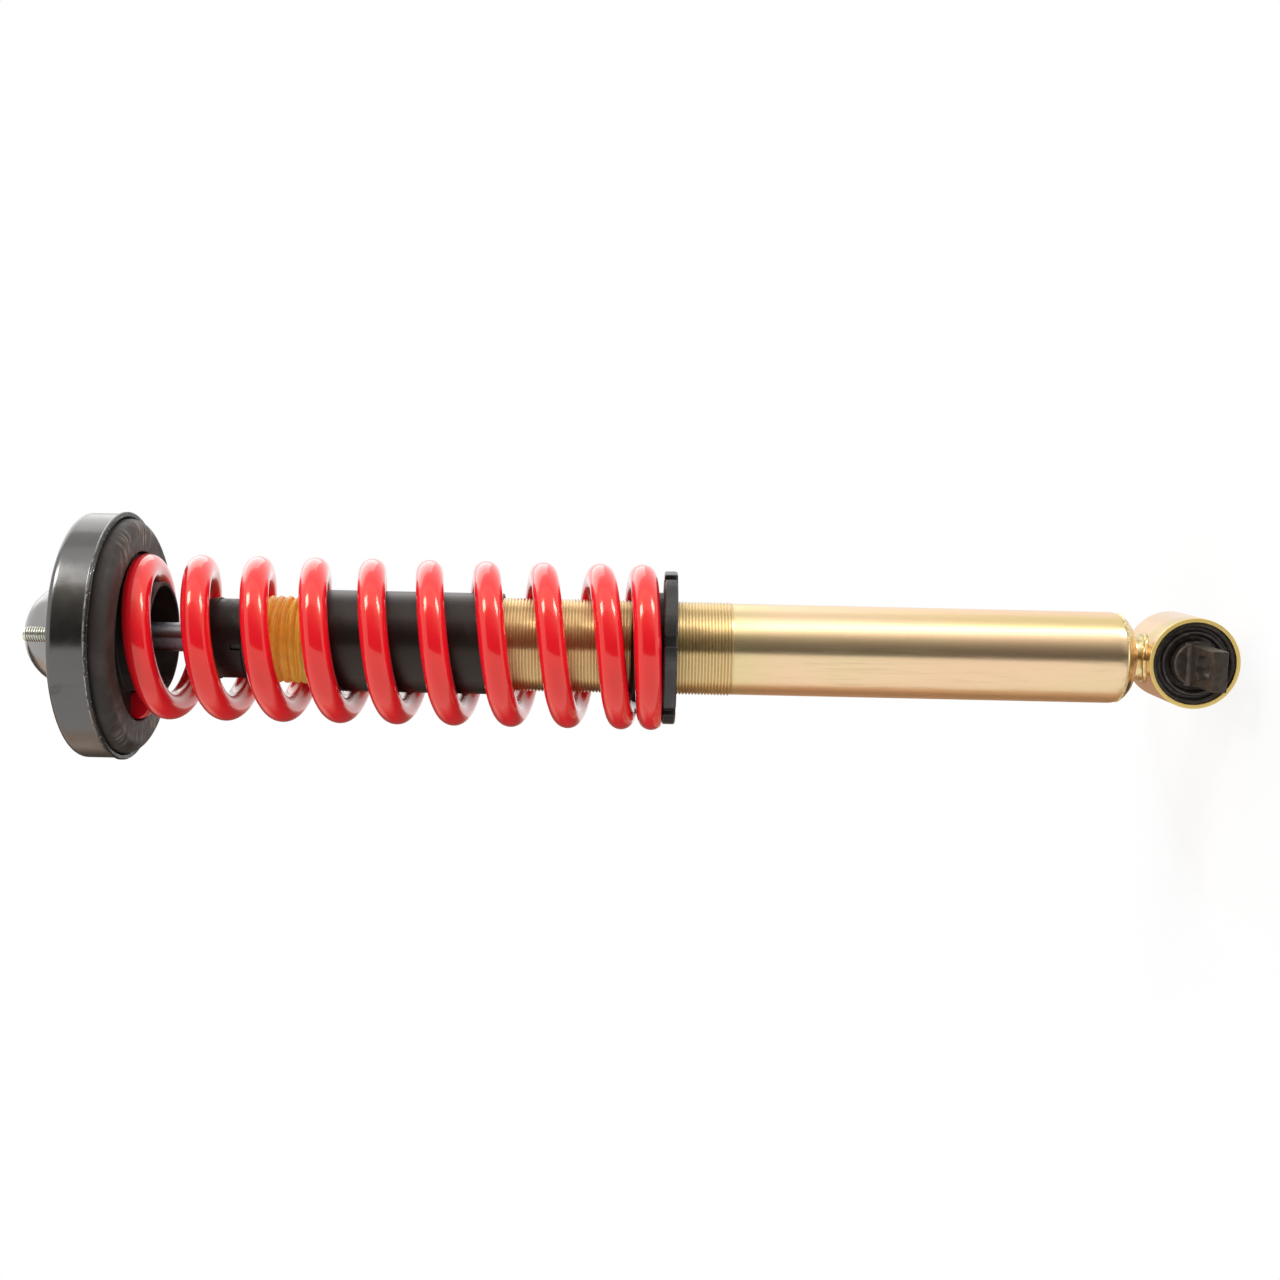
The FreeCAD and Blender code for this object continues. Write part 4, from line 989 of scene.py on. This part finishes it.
# Studio ----------------------------------------------------------------------
# The strut lies level across the picture. An angle here is in degrees round the strut, from the
# camera over the top. Distances from the strut's axis and heights along it are in metres.

TOWARDS = Vector((math.cos(CAMERA_SIDE), math.sin(CAMERA_SIDE), 0))
UPWARDS = Vector((-TOWARDS.y, TOWARDS.x, 0))
STUDIO_MIDDLE = Vector((0, 0, -0.3))

# angles and greys, distance, ends along the strut, tone
CARDS = {
    "front_card": (((-11, 0.07), (0, 0.085), (10, 0.12), (20, 0.2), (30, 0.35), (40, 0.62),
                    (50, 0.95)), 1.7, (-3.6, 1.2), (1, 0.94, 0.84)),
    # painted shadow: the card below and behind the strut is a dark sheet in place of its shadow on
    # a table, seen in reflections
    "table_shadow_card": (((-168, 0.5), (-160, 0.14), (-150, 0.09), (-125, 0.09), (-116, 0.18),
                   (-110, 0.35), (-104, 0.6), (-98, 0.95)), 1.7, (-3.6, 3.0), (1, 0.8, 0.66)),
    "gold_card": (((-172, 0.5), (-140, 0.45), (-110, 0.5), (-100, 0.8)),
                  0.13, (-0.66, -0.335), (1, 0.72, 0.52)),
}
# angle, distance, height, size across and along the strut, radiance
LAMPS = {
    "top_softbox": (70, 1.5, -0.3, (0.95, 3.6), 0.42),
    "back_softbox": (133, 1.6, 0.5, (1.3, 1.9), 1.1),
    "left_key": (58, 1.5, 0.93, (0.5, 0.62), 12),
    "right_key": (74, 1.5, -1.6, (0.45, 0.7), 11.5),
}
CAMERA_PLACE = TOWARDS * 0.880 + UPWARDS * 0.0039 + Vector((0, 0, -0.3036))
CAMERA_TILT = math.radians(1.263)
SENSOR_WIDTH, FOCAL_PIXELS, PICTURE_PIXELS = 36, 1600, 1280


def card_paper():
    """Matt card whose grey comes from the mesh's own shade attribute."""
    made = Nodes("card_paper")
    shade = made.node("Attribute", attribute_name="shade").outputs["Color"]
    return made.shown(made.node("BsdfDiffuse", {"Color": shade}))


def floor_paper(near, far):
    """White paper that fades out between two distances from the strut. The camera sees part of its
    white as its own light, so that it meets the white background and keeps a faint shadow."""
    made = Nodes("floor_paper")
    white = made.node("BsdfDiffuse", {"Color": (0.95, 0.95, 0.95)}).outputs[0]
    own_light = made.times(made.node("LightPath").outputs["Is Camera Ray"], 0.85)
    glow, clear = made.node("Emission").outputs[0], made.node("BsdfTransparent").outputs[0]
    paper = made.node("MixShader", {0: own_light, 1: white, 2: glow}).outputs[0]
    away = made.node("VectorMath", {0: made.place}, operation="LENGTH").outputs["Value"]
    return made.shown(made.node("MixShader", {0: made.window(away, near, far), 1: paper, 2: clear}))


def stage_object(name, data):
    item = bpy.data.objects.new(name, data)
    bpy.context.scene.collection.objects.link(item)
    return item


def paper_mesh(name, points, quads, paper):
    mesh = bpy.data.meshes.new(name)
    mesh.from_pydata(points.tolist(), [], quads.tolist())
    mesh.materials.append(paper)
    return mesh


def placed(right, above, back, place):
    """World matrix of an object with these three axes at this place."""
    matrix = Matrix((right, above, back)).transposed().to_4x4()
    matrix.translation = place
    return matrix


def add_floor():
    """A round sheet of paper just under the strut's lower end: radius (cos a, sin a)."""
    angle = even_angles(96)[:, None]
    radius = np.array([1e-4, 0.1, 0.2, 0.32])[None, :]
    points, quads = sheet(polar(radius, angle, 0 * radius * angle), True, False)
    ground = stage_object("floor", paper_mesh("floor", points, quads, floor_paper(0.06, 0.3)))
    ground.location = (0, 0, CAD_BOX[0][2] - 0.0005)
    ground.visible_glossy = False


def add_card(name, paper, shades, distance, ends, tone):
    """A card bent round the strut: point = distance (towards cos a + upwards sin a) + height. Its
    grey is read off the shades at its angle. But the shades above the camera spread out towards
    the cup's end, and past that end those below the strut come 27 degrees lower."""
    stops, greys = np.array(shades, float).T
    turn = np.linspace(stops[0], stops[-1], 90)
    around = np.radians(turn)[:, None, None]
    length = np.linspace(*ends, 12)[None, :, None]
    points = distance * (np.array(TOWARDS) * np.cos(around) + np.array(UPWARDS) * np.sin(around))
    points, quads = sheet(points + np.array([0, 0, 1.0]) * length)
    mesh = paper_mesh(name, points, quads, paper)
    above, below = np.maximum(turn, 0)[:, None], np.minimum(turn, 0)[:, None]
    height = length[..., 0]
    lower = 27 * np.clip((height - 0.2) / 0.3, 0, 1) * (below < -90)
    seen = above * (1 - 0.12 * (height + 0.8)) + below + lower
    grey = np.interp(seen, stops, greys).ravel()[:, None] * [*tone, 0] + [0, 0, 0, 1]
    mesh.attributes.new("shade", "FLOAT_COLOR", "POINT").data.foreach_set("color", grey.ravel())
    item = stage_object(name, mesh)
    item.visible_camera = False
    item.visible_shadow = False


def add_lamp(name, degrees, distance, height, size, radiance):
    """An area lamp that looks at the studio's middle. Its power is its radiance times pi times
    its area."""
    turn = math.radians(degrees)
    out = (TOWARDS * math.cos(turn) + UPWARDS * math.sin(turn)) * distance
    place = Vector((0, 0, height)) + out
    back = (place - STUDIO_MIDDLE).normalized()
    across = Vector((0, 0, 1)).cross(back).normalized()
    data = bpy.data.lights.new(name, "AREA")
    data.shape = "RECTANGLE"
    data.size, data.size_y = size
    data.energy = radiance * math.pi * size[0] * size[1]
    item = stage_object(name, data)
    item.matrix_world = placed(across, back.cross(across), back, place)
    item.visible_camera = False


def add_camera():
    """The camera, level with the strut, whose lower end points to the right of the picture."""
    lens = bpy.data.cameras.new("camera")
    lens.sensor_width = SENSOR_WIDTH
    lens.lens = SENSOR_WIDTH * FOCAL_PIXELS / PICTURE_PIXELS
    lens.clip_start = 0.05
    camera = stage_object("camera", lens)
    down_strut = Vector((0, 0, -1))
    right = down_strut * math.cos(CAMERA_TILT) + UPWARDS * math.sin(CAMERA_TILT)
    above = UPWARDS * math.cos(CAMERA_TILT) - down_strut * math.sin(CAMERA_TILT)
    camera.matrix_world = placed(right, above, TOWARDS, CAMERA_PLACE)
    bpy.context.scene.camera = camera


class STRUT_OT_stage(bpy.types.Operator):
    """The pale floor, the studio's grey cards and lamps, the white surroundings and the camera"""
    bl_idname = "strut.stage"
    bl_label = "Stage"

    def execute(self, context):
        scene = context.scene
        scene.view_settings.view_transform = "Standard"
        add_floor()
        paper = card_paper()
        for name, settings in CARDS.items():
            add_card(name, paper, *settings)
        for name, settings in LAMPS.items():
            add_lamp(name, *settings)
        world = bpy.data.worlds.new("studio")
        scene.world = world
        world.use_nodes = True
        background = next(node for node in world.node_tree.nodes if node.type == "BACKGROUND")
        background.inputs[0].default_value = (1, 1, 1, 1)
        background.inputs[1].default_value = 1.0
        add_camera()
        return {"FINISHED"}


STEPS = (STRUT_OT_stage, STRUT_OT_cup, STRUT_OT_studs, STRUT_OT_isolator, STRUT_OT_bump_stop,
         STRUT_OT_spring, STRUT_OT_collar, STRUT_OT_body, STRUT_OT_neck, STRUT_OT_eye,
         STRUT_OT_bar_pin, STRUT_OT_finishes)


class STRUT_PT_pieces(bpy.types.Panel):
    """Lists the strut's pieces and the sizes and colours behind them"""
    bl_idname = "STRUT_PT_pieces"
    bl_label = "Coilover strut"
    bl_space_type = "VIEW_3D"
    bl_region_type = "UI"
    bl_category = "Strut"

    def draw(self, context):
        for step in STEPS:
            self.layout.operator(step.bl_idname)
        for group in (sizes(), colours()):
            for name in group.__annotations__:
                self.layout.prop(group, name)


CLASSES = (StrutSizes, StrutColours, *STEPS, STRUT_PT_pieces)


def register():
    for item in CLASSES:
        bpy.utils.register_class(item)
    setattr(bpy.types.Scene, SCENE_SIZES, PointerProperty(type=StrutSizes))
    setattr(bpy.types.Scene, SCENE_COLOURS, PointerProperty(type=StrutColours))


def unregister():
    delattr(bpy.types.Scene, SCENE_COLOURS)
    delattr(bpy.types.Scene, SCENE_SIZES)
    for item in reversed(CLASSES):
        bpy.utils.unregister_class(item)


def main():
    register()
    for step in STEPS:
        group, name = step.bl_idname.split(".")
        getattr(getattr(bpy.ops, group), name)()


if __name__ == "__main__":
    main()
